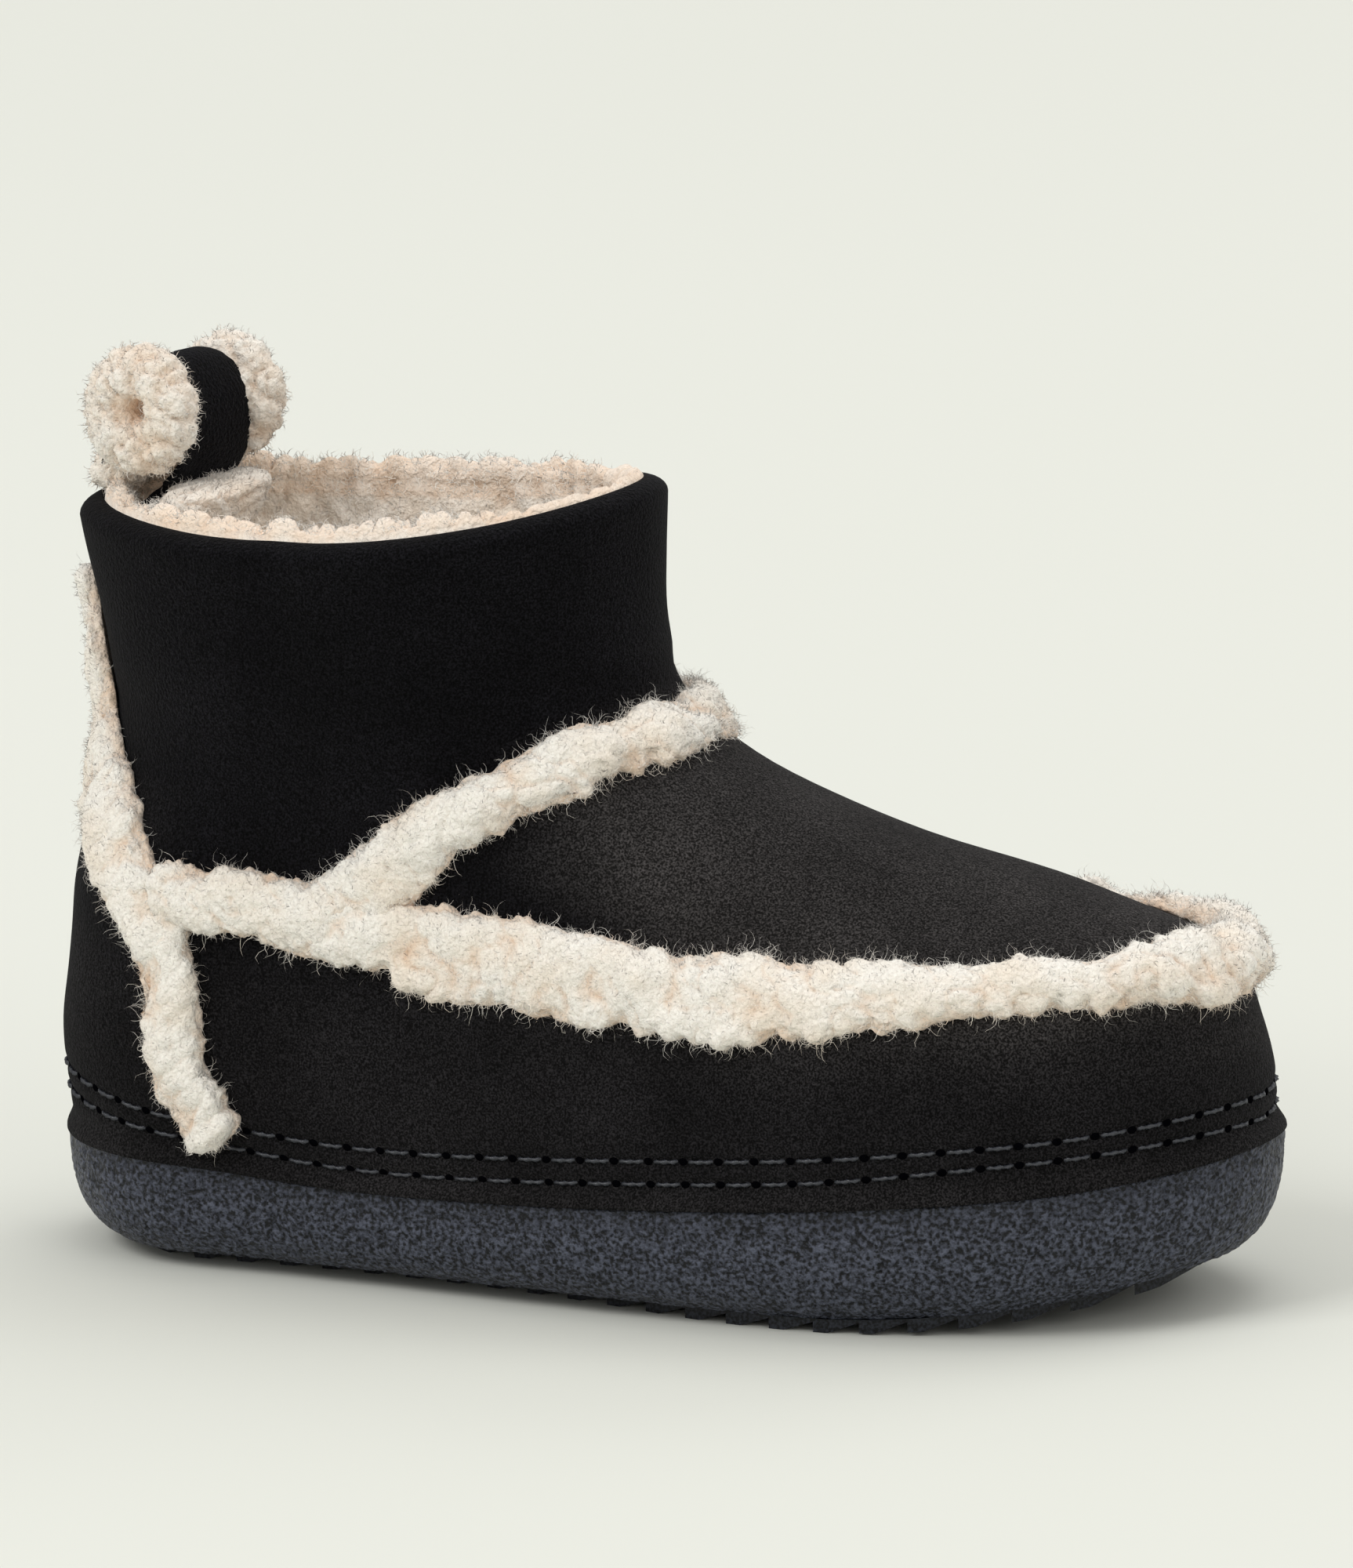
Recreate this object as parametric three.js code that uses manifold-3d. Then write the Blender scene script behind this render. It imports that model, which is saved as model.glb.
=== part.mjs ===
// Sheepskin ankle boot for the right foot, women's EU 38/39, standing empty on its sole.
// Suede outside and wool inside, wool strips along the seams, a rolled collar with a pull loop,
// a sheepskin footbed, a thick rubber sole and a thin sawtooth tread.
// Millimetres, +Z up, +X towards the toe, +Y towards the inner (medial) side of the foot.
// In the tables x runs from the back of the heel, z from the floor, and round is the share of the
// way round the boot: 0 at the back of the heel, 0.25 on the outer side, 0.5 at the toe.

import * as THREE from 'three';
import { mergeVertices } from 'three/addons/utils/BufferGeometryUtils.js';
import Module from 'manifold-3d';

const wasm = await Module();
wasm.setup();

// ---------------------------------------------------------------- driving sizes

const GAP = 0.3; // left between pieces that meet
const WALL = 9; // suede 1.5 and wool 7.5 deep
const SOLE_TOP = 25; // level of the seam above the sole, before SOLE_LINE lifts it
const COLLAR = 164; // height of the collar at the heel
const COLLAR_RISE = { from: 80, length: 62, height: 7, below: 47 }; // it climbs towards the front
const COLLAR_DIP = { x: 62, half: 36, deep: 1.8 }; // and dips at the sides of the ankle
const COLLAR_ROLL = 3; // the folded edge swells this far above the collar
const TOE_SWING = { from: 60, length: 220, sideways: 9 }; // the last curves to the inner side
const LIFT_FADE = { top: 115, height: 50 }; // the sole's curve dies out over this height
const LIP = { out: 2.2, height: 5 }; // the suede flares over the edge of the sole
const ORIGIN = { x: 140.8, y: 3.2 }; // middle of the standing boot

const COLUMNS = 240; // points round each level of the upper's surface
const SIDES = 60; // facets round the upper and the sole

// The last, level by level: where it starts and ends, its half widths at heel and ball, how far
// the round ends reach, and how square the toe is.
const SECTIONS = [
  { z: 25, back: 2.5, front: 279, heel: 41, ball: 54, backCap: 42, frontCap: 88, square: 2.2 },
  { z: 36, back: 1, front: 279, heel: 42, ball: 54.5, backCap: 42, frontCap: 86, square: 2.2 },
  { z: 50, back: 0.5, front: 276, heel: 42.5, ball: 53.5, backCap: 42, frontCap: 82, square: 2.2 },
  { z: 62, back: 2, front: 271.5, heel: 42.5, ball: 50.5, backCap: 42, frontCap: 82, square: 2.2 },
  { z: 72, back: 3.5, front: 261.5, heel: 42, ball: 47, backCap: 42, frontCap: 84, square: 2.1 },
  { z: 82, back: 5, front: 243, heel: 41.5, ball: 43.5, backCap: 42, frontCap: 92, square: 2 },
  { z: 92, back: 7.5, front: 217, heel: 41, ball: 41.5, backCap: 43, frontCap: 98, square: 2 },
  { z: 102, back: 11.5, front: 190, heel: 40.5, ball: 41, backCap: 45, frontCap: 96, square: 2 },
  { z: 112, back: 14.5, front: 165, heel: 40.5, ball: 42, backCap: 48, frontCap: 84, square: 2 },
  { z: 122, back: 15.3, front: 148.5, heel: 41.5, ball: 43, backCap: 50, frontCap: 68, square: 2 },
  { z: 136, back: 13.3, front: 142.5, heel: 43, ball: 44, backCap: 52, frontCap: 58, square: 2 },
  { z: 152, back: 10.3, front: 141.5, heel: 44.5, ball: 45.5, backCap: 58, frontCap: 60, square: 2 },
  { z: 164, back: 8.5, front: 142, heel: 46, ball: 46.5, backCap: 62, frontCap: 60, square: 2 },
];

// The sole along the foot: the height of its underside and of the seam above it.
const SOLE_LINE = [
  { x: 0, under: 0, top: 26 },
  { x: 40, under: 0, top: 25.4 },
  { x: 85, under: 0, top: 23.2 },
  { x: 125, under: 0, top: 24.2 },
  { x: 160, under: 0, top: 26.2 },
  { x: 195, under: 0, top: 28.6 },
  { x: 225, under: 1.6, top: 31 },
  { x: 250, under: 4.6, top: 33 },
  { x: 270, under: 8.4, top: 35.6 },
  { x: 282, under: 10.5, top: 37.6 },
];

// The side of the thick sole: share of its height, and how far it stands out from the last.
const SOLE_SIDE = [
  { share: 0, out: -7.5 },
  { share: 0.09, out: -4.5 },
  { share: 0.24, out: -1.8 },
  { share: 0.5, out: 0.4 },
  { share: 0.8, out: 1.3 },
  { share: 1, out: 1.5 },
];

const TREAD = { thick: 3, pitch: 10.4, land: 3.4, depth: 2.3, first: 31.4, last: 262 };
// How far the tread keeps inside the last's outline: far in at the heel and the toe, near it at the ball.
const TREAD_INSET = [
  { x: 0, inset: 14 },
  { x: 140, inset: 14 },
  { x: 170, inset: 9 },
  { x: 200, inset: 7 },
  { x: 235, inset: 8.5 },
  { x: 262, inset: 12 },
  { x: 282, inset: 14.5 },
];
const FOOTBED = { thick: 8, clearance: 0.5 };

// Levels of the upper's facets, outside from the sole up and inside from the collar down.
const OUTSIDE = [27.6, 30, 36, 44, 53, 61, 68, 75, 83, 91, 99, 106, 112, 118, 125, 134, 147, 158];
const INSIDE = [155, 143, 130, 118, 108, 98, 88, 79, 70, 60, 46, 33];

// The wool strips: their middle lines on the upper's surface and their widths along the way.
const SIDE_STRIP = [
  { round: 0.105, z: 85.5, width: 17 },
  { round: 0.15, z: 85.2, width: 17 },
  { round: 0.19, z: 82.5, width: 19 },
  { round: 0.23, z: 78.3, width: 20.5 },
  { round: 0.27, z: 75, width: 20.5 },
  { round: 0.31, z: 71, width: 20 },
  { round: 0.36, z: 69.2, width: 18 },
  { round: 0.41, z: 68.2, width: 13.5 },
  { round: 0.46, z: 66.6, width: 14 },
  { round: 0.5, z: 63.2, width: 16.5 },
];
const INSTEP_STRIP = [
  { round: 0.175, z: 84.5, width: 14 },
  { round: 0.2, z: 89, width: 15.5 },
  { round: 0.235, z: 96.2, width: 16.5 },
  { round: 0.27, z: 103, width: 16.5 },
  { round: 0.31, z: 109, width: 16 },
  { round: 0.35, z: 113.5, width: 15.5 },
  { round: 0.4, z: 118, width: 15.5 },
  { round: 0.45, z: 121, width: 16 },
  { round: 0.5, z: 121.5, width: 17 },
];
const HEEL_STRIP = [
  { round: 0.012, z: 151, width: 12 },
  { round: 0.021, z: 133, width: 18 },
  { round: 0.038, z: 118, width: 22 },
  { round: 0.063, z: 105, width: 23 },
  { round: 0.087, z: 94, width: 20 },
  { round: 0.1, z: 82, width: 16 },
  { round: 0.102, z: 66, width: 15.5 },
  { round: 0.104, z: 50, width: 16 },
  { round: 0.108, z: 40, width: 15 },
  { round: 0.116, z: 31, width: 13.5 },
];
const PILE = { high: 6, root: -3 }; // the wool strips stand this far out, and are cut from this far in

const STEPS = { side: 56, instep: 32, heel: 22 }; // facets along each strip

// A strip's cross-section, going round it: share of the half width, and share of the pile.
const STRIP_SECTION = [
  { across: 1, high: 0 },
  { across: 1, high: 0.45 },
  { across: 0.72, high: 0.88 },
  { across: 0.25, high: 1 },
  { across: -0.25, high: 1 },
  { across: -0.72, high: 0.88 },
  { across: -1, high: 0.45 },
  { across: -1, high: 0 },
  { across: -0.35, high: 0 },
  { across: 0.35, high: 0 },
];

// The pull loop: a shearling strap wound into a roll that lies across the back of the collar.
const LOOP = { x: 30.5, z: 187, radius: 13.5, hole: 3.2, length: 42, round: 5, facets: 26 };
const LOOP_TURN = { yaw: -9, dip: -4.5 }; // degrees, to the front and down on the inner side
const LOOP_TAIL = { width: 25, base: 167.5, back: 10, front: 19.5, under: 26, behind: 18 };

// ---------------------------------------------------------------- materials

function finish(hex, roughness) {
  return new THREE.MeshStandardMaterial({ color: hex, roughness, metalness: 0 });
}

const suede = finish(0x26242a, 0.95);
const wool = finish(0xefe3d2, 1);
const rubber = finish(0x363a44, 0.7);
const treadRubber = finish(0x30333c, 0.6);

// ---------------------------------------------------------------- tables and outlines

// A smooth curve through one column of a table, read at a place along another column.
function smooth(rows, column, along, at) {
  const last = rows.length - 1;
  const place = THREE.MathUtils.clamp(at, rows[0][along], rows[last][along]);
  let i = 0;
  while (i < last - 1 && place > rows[i + 1][along]) i += 1;
  const rate = (k) => {
    const [p, q] = [rows[k], rows[k + 1]];
    return (q[column] - p[column]) / (q[along] - p[along]);
  };
  const slope = (k) => {
    if (k === 0) return rate(0);
    if (k === last) return rate(last - 1);
    const before = rows[k][along] - rows[k - 1][along];
    const after = rows[k + 1][along] - rows[k][along];
    return (rate(k - 1) * after + rate(k) * before) / (before + after);
  };
  const step = rows[i + 1][along] - rows[i][along];
  const t = (place - rows[i][along]) / step;
  const bend = t * t * (3 - 2 * t);
  const start = step * slope(i) * t * (1 - t) ** 2;
  const end = step * slope(i + 1) * t * t * (1 - t);
  return rows[i][column] * (1 - bend) + rows[i + 1][column] * bend + start - end;
}

function sectionAt(z) {
  const names = ['back', 'front', 'heel', 'ball', 'backCap', 'frontCap', 'square'];
  return Object.fromEntries(names.map((name) => [name, smooth(SECTIONS, name, 'z', z)]));
}

function under(x) {
  return Math.max(smooth(SOLE_LINE, 'under', 'x', x), 0);
}

function swing(x) {
  const { from, length, sideways } = TOE_SWING;
  return sideways * Math.max((x - from) / length, 0) ** 2;
}

// Height added to a level: the sole's curve low down, the collar's own line at the top.
function lift(x, z) {
  const { smoothstep } = THREE.MathUtils;
  const sole = smooth(SOLE_LINE, 'top', 'x', x) - SOLE_TOP;
  const low = smoothstep(LIFT_FADE.top - z, 0, LIFT_FADE.height);
  const { from, length, height, below } = COLLAR_RISE;
  const forward = THREE.MathUtils.clamp((x - from) / length, 0, 1);
  const dip = COLLAR_DIP.deep * Math.exp(-(((x - COLLAR_DIP.x) / COLLAR_DIP.half) ** 2));
  return sole * low + (height * forward ** 2 - dip) * smoothstep(z, COLLAR - below, COLLAR);
}

// A point of a level's outline: share runs from heel to toe, side is -1 outer or 1 inner.
function outlinePoint(section, share, side) {
  const { back, front, heel, ball, backCap, frontCap, square } = section;
  const x = back + ((front - back) * (1 - Math.cos(Math.PI * share))) / 2;
  const { clamp, smoothstep } = THREE.MathUtils;
  const wide = smoothstep(x, back + backCap, front - frontCap);
  const heelEnd = 1 - clamp((x - back) / backCap, 0, 1);
  const toeEnd = 1 - clamp((front - x) / frontCap, 0, 1);
  const ends = Math.sqrt(1 - heelEnd ** 2) * Math.sqrt(1 - toeEnd ** square);
  const half = (heel + (ball - heel) * wide) * ends;
  return new THREE.Vector2(x, swing(x) + side * half);
}

// The same polyline with evenly spaced points.
function evenly(points, steps) {
  const run = [0];
  points.slice(1).forEach((p, i) => run.push(run[i] + p.distanceTo(points[i])));
  const total = run[run.length - 1];
  let i = 0;
  return Array.from({ length: steps + 1 }, (_, k) => {
    const at = (total * k) / steps;
    while (i < points.length - 2 && run[i + 1] < at) i += 1;
    return points[i].clone().lerp(points[i + 1], (at - run[i]) / (run[i + 1] - run[i]));
  });
}

// One level of the last: outer side from heel to toe, then the inner side back again.
function level(z) {
  const section = sectionAt(z);
  const dense = Array.from({ length: COLUMNS + 1 }, (_, i) => i / COLUMNS);
  const [outer, inner] = [-1, 1].map((side) => {
    return evenly(dense.map((share) => outlinePoint(section, share, side)), COLUMNS / 2);
  });
  const loop = [...outer.slice(0, -1), ...inner.reverse().slice(0, -1)];
  return loop.map((p) => new THREE.Vector3(p.x, p.y, z + lift(p.x, z)));
}

// ---------------------------------------------------------------- the upper's surface

const LEVELS = Array.from({ length: COLLAR - SOLE_TOP + 1 }, (_, i) => level(SOLE_TOP + i));

function onSurface(round, z) {
  const row = THREE.MathUtils.clamp(z - SOLE_TOP, 0, LEVELS.length - 1);
  const i = Math.min(Math.floor(row), LEVELS.length - 2);
  const column = THREE.MathUtils.euclideanModulo(round, 1) * COLUMNS;
  const j = Math.floor(column) % COLUMNS;
  const next = (j + 1) % COLUMNS;
  const side = column - Math.floor(column);
  const low = LEVELS[i][j].clone().lerp(LEVELS[i][next], side);
  const high = LEVELS[i + 1][j].clone().lerp(LEVELS[i + 1][next], side);
  return low.lerp(high, row - i);
}

// How the surface runs at a place: along the level and up the wall.
function runs(round, z) {
  const step = 1 / COLUMNS;
  const along = onSurface(round + step, z).sub(onSurface(round - step, z)).divideScalar(2 * step);
  const middle = THREE.MathUtils.clamp(z, SOLE_TOP + 1, COLLAR - 1);
  const [low, high] = [middle - 1, middle + 1];
  const up = onSurface(round, high).sub(onSurface(round, low)).divideScalar(high - low);
  return { along, up, out: along.clone().cross(up).normalize() };
}

function offset(round, z, out, up = 0) {
  const point = onSurface(round, z).addScaledVector(runs(round, z).out, out);
  point.z += up;
  return point;
}

function ring(z, out, up = 0) {
  return Array.from({ length: SIDES }, (_, j) => offset(j / SIDES, z, out, up));
}

// ---------------------------------------------------------------- closed meshes

function mesh(points, faces) {
  const geometry = new THREE.BufferGeometry().setFromPoints(points);
  geometry.setIndex(faces.flat());
  geometry.computeVertexNormals();
  return geometry;
}

// Faces between rings that follow each other; the last ring joins the first when closed.
function walls(rings, closed) {
  const count = rings[0].length;
  const faces = [];
  for (let i = 0; i < rings.length - (closed ? 0 : 1); i += 1) {
    const low = i * count;
    const high = ((i + 1) % rings.length) * count;
    for (let j = 0; j < count; j += 1) {
      const next = (j + 1) % count;
      faces.push([low + j, low + next, high + next], [low + j, high + next, high + j]);
    }
  }
  return faces;
}

// A lid over a ring: rungs join its outer and inner sides, so that it follows the foot's curve.
function lid(start, count, facingUp) {
  const faces = [];
  for (let j = 0; j < count / 2; j += 1) {
    const far = (count - j) % count;
    if (j + 1 !== count - j - 1) faces.push([j, j + 1, count - j - 1]);
    if (j !== far) faces.push([j, count - j - 1, far]);
  }
  return faces.map(([a, b, c]) => {
    const face = [start + a, start + b, start + c];
    return facingUp ? face : face.reverse();
  });
}

function hollowLoft(rings) {
  return mesh(rings.flat(), walls(rings, true));
}

function solidLoft(rings) {
  const count = rings[0].length;
  const top = (rings.length - 1) * count;
  const faces = [...walls(rings, false), ...lid(0, count, false), ...lid(top, count, true)];
  return mesh(rings.flat(), faces);
}

function toSolid(geometry) {
  const bare = geometry.clone();
  bare.deleteAttribute('normal');
  bare.deleteAttribute('uv');
  const merged = mergeVertices(bare, 1e-4);
  const vertProperties = new Float32Array(merged.attributes.position.array);
  const triVerts = new Uint32Array(merged.index.array);
  return new wasm.Manifold(new wasm.Mesh({ numProp: 3, vertProperties, triVerts }));
}

function fromSolid(solid) {
  const { vertProperties, triVerts } = solid.getMesh();
  const geometry = new THREE.BufferGeometry();
  geometry.setAttribute('position', new THREE.BufferAttribute(vertProperties, 3));
  geometry.setIndex(new THREE.BufferAttribute(triVerts, 1));
  geometry.computeVertexNormals();
  return geometry;
}

function cut(geometry, ...cutters) {
  return fromSolid(cutters.reduce((left, c) => left.subtract(toSolid(c)), toSolid(geometry)));
}

// ---------------------------------------------------------------- upper

function lip(z) {
  return LIP.out * (1 - THREE.MathUtils.smoothstep(z, SOLE_TOP, SOLE_TOP + LIP.height));
}

// One hollow wall, open at the collar and underneath: up the outside, over the rolled edge and
// down the inside.
function upper() {
  const outside = OUTSIDE.map((z) => ring(z, lip(z)));
  const roll = [
    ring(COLLAR, 0),
    ring(COLLAR, -WALL * 0.25, COLLAR_ROLL * 0.85),
    ring(COLLAR, -WALL * 0.6, COLLAR_ROLL * 0.85),
    ring(COLLAR, -WALL, -0.5),
  ];
  const inside = INSIDE.map((z) => ring(z, -WALL));
  const inner = ring(SOLE_TOP, -WALL, GAP);
  const outer = ring(SOLE_TOP, LIP.out, GAP);
  return hollowLoft([outer, ...outside, ...roll, ...inside, inner]);
}

// ---------------------------------------------------------------- sole

// A ring of the sole at a share of its height, from the tread to the seam with the upper.
function soleRing({ share, out }) {
  return ring(SOLE_TOP, out).map((p) => {
    const low = under(p.x) + TREAD.thick + GAP;
    const high = smooth(SOLE_LINE, 'top', 'x', p.x);
    return new THREE.Vector3(p.x, p.y, THREE.MathUtils.lerp(low, high, share));
  });
}

function midsole() {
  return solidLoft(SOLE_SIDE.map(soleRing));
}

function treadRing(height) {
  return Array.from({ length: SIDES }, (_, j) => {
    const place = onSurface(j / SIDES, SOLE_TOP);
    const inset = smooth(TREAD_INSET, 'inset', 'x', place.x);
    const point = offset(j / SIDES, SOLE_TOP, -inset);
    point.z = under(point.x) + height;
    return point;
  });
}

// What is cut away ahead of one tooth: its slope rises to the upright face of the next tooth.
function toothGap(x) {
  const end = x + TREAD.pitch - TREAD.land;
  const start = under(x);
  const top = under(end) + TREAD.depth;
  const reach = 80;
  const shape = new THREE.Shape();
  shape.moveTo(x, start).lineTo(end, top).lineTo(end, -reach).lineTo(x, -reach).closePath();
  const prism = new THREE.ExtrudeGeometry(shape, { depth: 2 * reach, bevelEnabled: false });
  return prism.rotateX(Math.PI / 2).translate(0, reach, 0);
}

function outsole() {
  const gaps = [];
  for (let x = TREAD.first; x < TREAD.last; x += TREAD.pitch) gaps.push(toothGap(x));
  return cut(solidLoft([treadRing(0), treadRing(TREAD.thick)]), ...gaps);
}

// ---------------------------------------------------------------- footbed

function footbed() {
  const out = -(WALL + FOOTBED.clearance);
  const levels = [GAP, FOOTBED.thick * 0.7, FOOTBED.thick];
  const insets = [0, 0, 2];
  return solidLoft(levels.map((up, i) => ring(SOLE_TOP, out - insets[i], up)));
}

// ---------------------------------------------------------------- wool strips

function mirrored(rows) {
  const back = rows.map((row) => ({ ...row, round: 1 - row.round })).reverse();
  return rows[rows.length - 1].round === 0.5 ? back.slice(1) : back;
}

// The strip's cross-section at a place on its middle line. grow makes it larger all round.
function stripSection(place, ahead, grow) {
  const { along, up, out } = runs(place.round, place.z);
  const way = onSurface(ahead.round, ahead.z).sub(onSurface(place.round, place.z));
  const side = out.clone().cross(way).normalize();
  const [aa, au, uu] = [along.dot(along), along.dot(up), up.dot(up)];
  const [sa, su] = [side.dot(along), side.dot(up)];
  const size = aa * uu - au * au;
  const perRound = (sa * uu - su * au) / size;
  const perLevel = (su * aa - sa * au) / size;
  const half = place.width / 2 + grow;
  return STRIP_SECTION.map(({ across, high }) => {
    const round = place.round + perRound * across * half;
    const z = place.z + perLevel * across * half;
    return offset(round, z, high > 0 ? high * PILE.high + grow : PILE.root - grow);
  });
}

function strip(rows, steps, grow = 0) {
  const path = rows.map((row, i) => ({ ...row, at: i / (rows.length - 1) }));
  const placeAt = (at) => ({
    round: smooth(path, 'round', 'at', at),
    z: smooth(path, 'z', 'at', at),
    width: smooth(path, 'width', 'at', at),
  });
  const nudge = 1e-3;
  const sections = Array.from({ length: steps + 1 }, (_, i) => {
    const at = Math.min(i / steps, 1 - nudge);
    return stripSection(placeAt(at), placeAt(at + nudge), grow);
  });
  const count = STRIP_SECTION.length;
  const last = steps * count;
  const ends = [];
  for (let k = 1; k < count - 1; k += 1) {
    ends.push([0, k + 1, k], [last, last + k, last + k + 1]);
  }
  return mesh(sections.flat(), [...walls(sections, false), ...ends]);
}

// A block on one side of the boot's middle plane.
function halfSpace(side) {
  const size = 400;
  const block = new THREE.BoxGeometry(size, size, size);
  return block.translate(0, side * (size / 2 - GAP / 2), 0);
}

// The upper's outside, grown by the gap: what the strips are cut back to.
const underStrips = solidLoft([SOLE_TOP, ...OUTSIDE, COLLAR].map((z) => ring(z, lip(z) + GAP)));

const sideRows = [...SIDE_STRIP, ...mirrored(SIDE_STRIP)];
const instepRows = [...INSTEP_STRIP, ...mirrored(INSTEP_STRIP)];
const heelStrip = (side, grow) => strip(side < 0 ? HEEL_STRIP : mirrored(HEEL_STRIP), STEPS.heel, grow);

function sideTrim(grow = 0) {
  const whole = strip(sideRows, STEPS.side, grow);
  return grow > 0 ? whole : cut(whole, underStrips, heelStrip(-1, GAP), heelStrip(1, GAP));
}

function instepTrim() {
  return cut(strip(instepRows, STEPS.instep), underStrips, sideTrim(GAP));
}

function heelTrim(side) {
  return cut(heelStrip(side, 0), underStrips, halfSpace(-side));
}

// ---------------------------------------------------------------- pull loop

// Half of a rounded end of the roll, from the hole out to the full radius.
function rollProfile() {
  const { radius, hole, length, round } = LOOP;
  const half = length / 2;
  const turns = [0, 30, 60, 90].map(THREE.MathUtils.degToRad);
  const corner = turns.map((a) => [radius - round + round * Math.sin(a), half - round + round * Math.cos(a)]);
  const top = [[hole, half - round / 2], [hole + 2, half], ...corner];
  const bottom = top.map(([r, y]) => [r, -y]).reverse();
  const outline = [...top, ...bottom].map(([r, y]) => new THREE.Vector2(r, y)).reverse();
  return [...outline, outline[0].clone()];
}

function pullLoop() {
  const roll = new THREE.LatheGeometry(rollProfile(), LOOP.facets);
  roll.rotateX(THREE.MathUtils.degToRad(LOOP_TURN.dip));
  roll.rotateZ(THREE.MathUtils.degToRad(LOOP_TURN.yaw));
  roll.translate(LOOP.x, 0, LOOP.z);
  const { width, base, back, front, under, behind } = LOOP_TAIL;
  const shape = new THREE.Shape();
  shape.moveTo(back, base).lineTo(front, base).lineTo(under, LOOP.z - LOOP.radius * 0.8);
  shape.lineTo(behind + 1, LOOP.z + 1).lineTo(behind - 2, LOOP.z - 4).closePath();
  const tail = new THREE.ExtrudeGeometry(shape, { depth: width, bevelEnabled: false });
  tail.rotateX(Math.PI / 2).translate(0, width / 2, 0);
  return fromSolid(toSolid(roll).add(toSolid(tail)));
}

// ---------------------------------------------------------------- assembly

const boot = new THREE.Group();

function piece(name, geometry, material) {
  const part = new THREE.Mesh(geometry, material);
  part.name = name;
  boot.add(part);
}

piece('outsole', outsole(), treadRubber);
piece('midsole', midsole(), rubber);
piece('insole', footbed(), wool);
piece('upper', upper(), suede);
piece('trim_side', sideTrim(), wool);
piece('trim_instep', instepTrim(), wool);
piece('trim_heel_outer', heelTrim(-1), wool);
piece('trim_heel_inner', heelTrim(1), wool);
piece('pull_loop', pullLoop(), wool);

boot.position.set(-ORIGIN.x, -ORIGIN.y, 0);

export default boot;
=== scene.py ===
"""Looks of a sheepskin ankle boot for the right foot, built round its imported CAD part.

The upper's surface comes from the same tables as the CAD part, in millimetres, with x from the back
of the heel and z from the floor. Each piece is moved to the row frame, in metres, as it is made.
round is the share of the way round the boot: 0 at the back of the heel, 0.25 on the outer side and
0.5 at the toe. z is a level of the last; the sole's curve and the climbing collar are added to it.
"""

import bmesh
import bpy
import numpy as np
from mathutils import Matrix


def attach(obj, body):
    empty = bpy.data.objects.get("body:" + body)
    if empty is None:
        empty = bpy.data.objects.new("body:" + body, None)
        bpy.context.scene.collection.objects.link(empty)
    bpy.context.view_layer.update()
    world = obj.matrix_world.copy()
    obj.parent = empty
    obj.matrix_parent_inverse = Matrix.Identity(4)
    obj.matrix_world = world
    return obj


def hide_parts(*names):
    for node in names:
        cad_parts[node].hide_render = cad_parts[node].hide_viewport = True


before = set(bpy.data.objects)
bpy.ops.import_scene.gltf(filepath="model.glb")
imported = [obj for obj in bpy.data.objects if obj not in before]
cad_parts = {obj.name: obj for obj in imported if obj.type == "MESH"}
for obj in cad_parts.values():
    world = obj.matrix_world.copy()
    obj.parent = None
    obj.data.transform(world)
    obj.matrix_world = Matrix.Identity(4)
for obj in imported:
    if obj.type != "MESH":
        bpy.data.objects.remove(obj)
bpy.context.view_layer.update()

# ---------------------------------------------------------------- driving sizes, in millimetres

METRES = 0.001
ORIGIN = np.array([140.8, 3.2, 0.0])  # the row frame's origin in the boot's own sizes
GAP = 0.3  # left between pieces that meet
WALL = 9.0  # suede and wool together
SKIN = 1.4  # the suede alone
SOLE_TOP = 25.0  # level of the seam above the sole, before SOLE_LINE lifts it
COLLAR = 164.0  # level of the collar at the heel
COLLAR_RISE = {"start": 80, "length": 62, "height": 7, "below": 47}
COLLAR_DIP = {"x": 62, "half": 36, "deep": 1.8}
RIM_FLUFF = 2.4  # how far the wool stands over the suede's edge at the collar
ROLL = {"half": WALL / 2, "high": 3.0}  # the folded edge of the collar
TOE_SWING = {"start": 60, "length": 220, "sideways": 9}
LIFT_FADE = {"top": 115, "height": 50}
LIP = {"out": 2.2, "height": 5}  # the suede flares over the edge of the sole
TREAD_THICK = 3.0
FOOTBED = {"thick": 8.0, "clearance": 0.5}
PILE = 6.0  # how far the wool strips stand out
TOE_PILE = 3.0  # and how much more round the toe
STRIP_TUCK = 1.0  # the hairs' share of each edge of a strip
LOOP = {"x": 30.5, "z": 186.8}
LOOP_TURN = {"yaw": -9, "dip": -4.5}  # degrees

COLUMNS = 960  # points round each level of the surface table
STEP = 1 / 240  # share of the way round over which slopes are read


def table(columns, *rows):
    """A short table as one array for each named column."""
    return {name: np.array(values, float) for name, values in zip(columns.split(), zip(*rows))}


SECTIONS = table(
    "z back front heel ball back_cap front_cap square",
    (25, 2.5, 279, 41, 54, 42, 88, 2.2),
    (36, 1, 279, 42, 54.5, 42, 86, 2.2),
    (50, 0.5, 276, 42.5, 53.5, 42, 82, 2.2),
    (62, 2, 271.5, 42.5, 50.5, 42, 82, 2.2),
    (72, 3.5, 261.5, 42, 47, 42, 84, 2.1),
    (82, 5, 243, 41.5, 43.5, 42, 92, 2),
    (92, 7.5, 217, 41, 41.5, 43, 98, 2),
    (102, 11.5, 190, 40.5, 41, 45, 96, 2),
    (112, 14.5, 165, 40.5, 42, 48, 84, 2),
    (122, 15.3, 148.5, 41.5, 43, 50, 68, 2),
    (136, 13.3, 142.5, 43, 44, 52, 58, 2),
    (152, 10.3, 141.5, 44.5, 45.5, 58, 60, 2),
    (164, 8.5, 142, 46, 46.5, 62, 60, 2),
)
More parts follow.
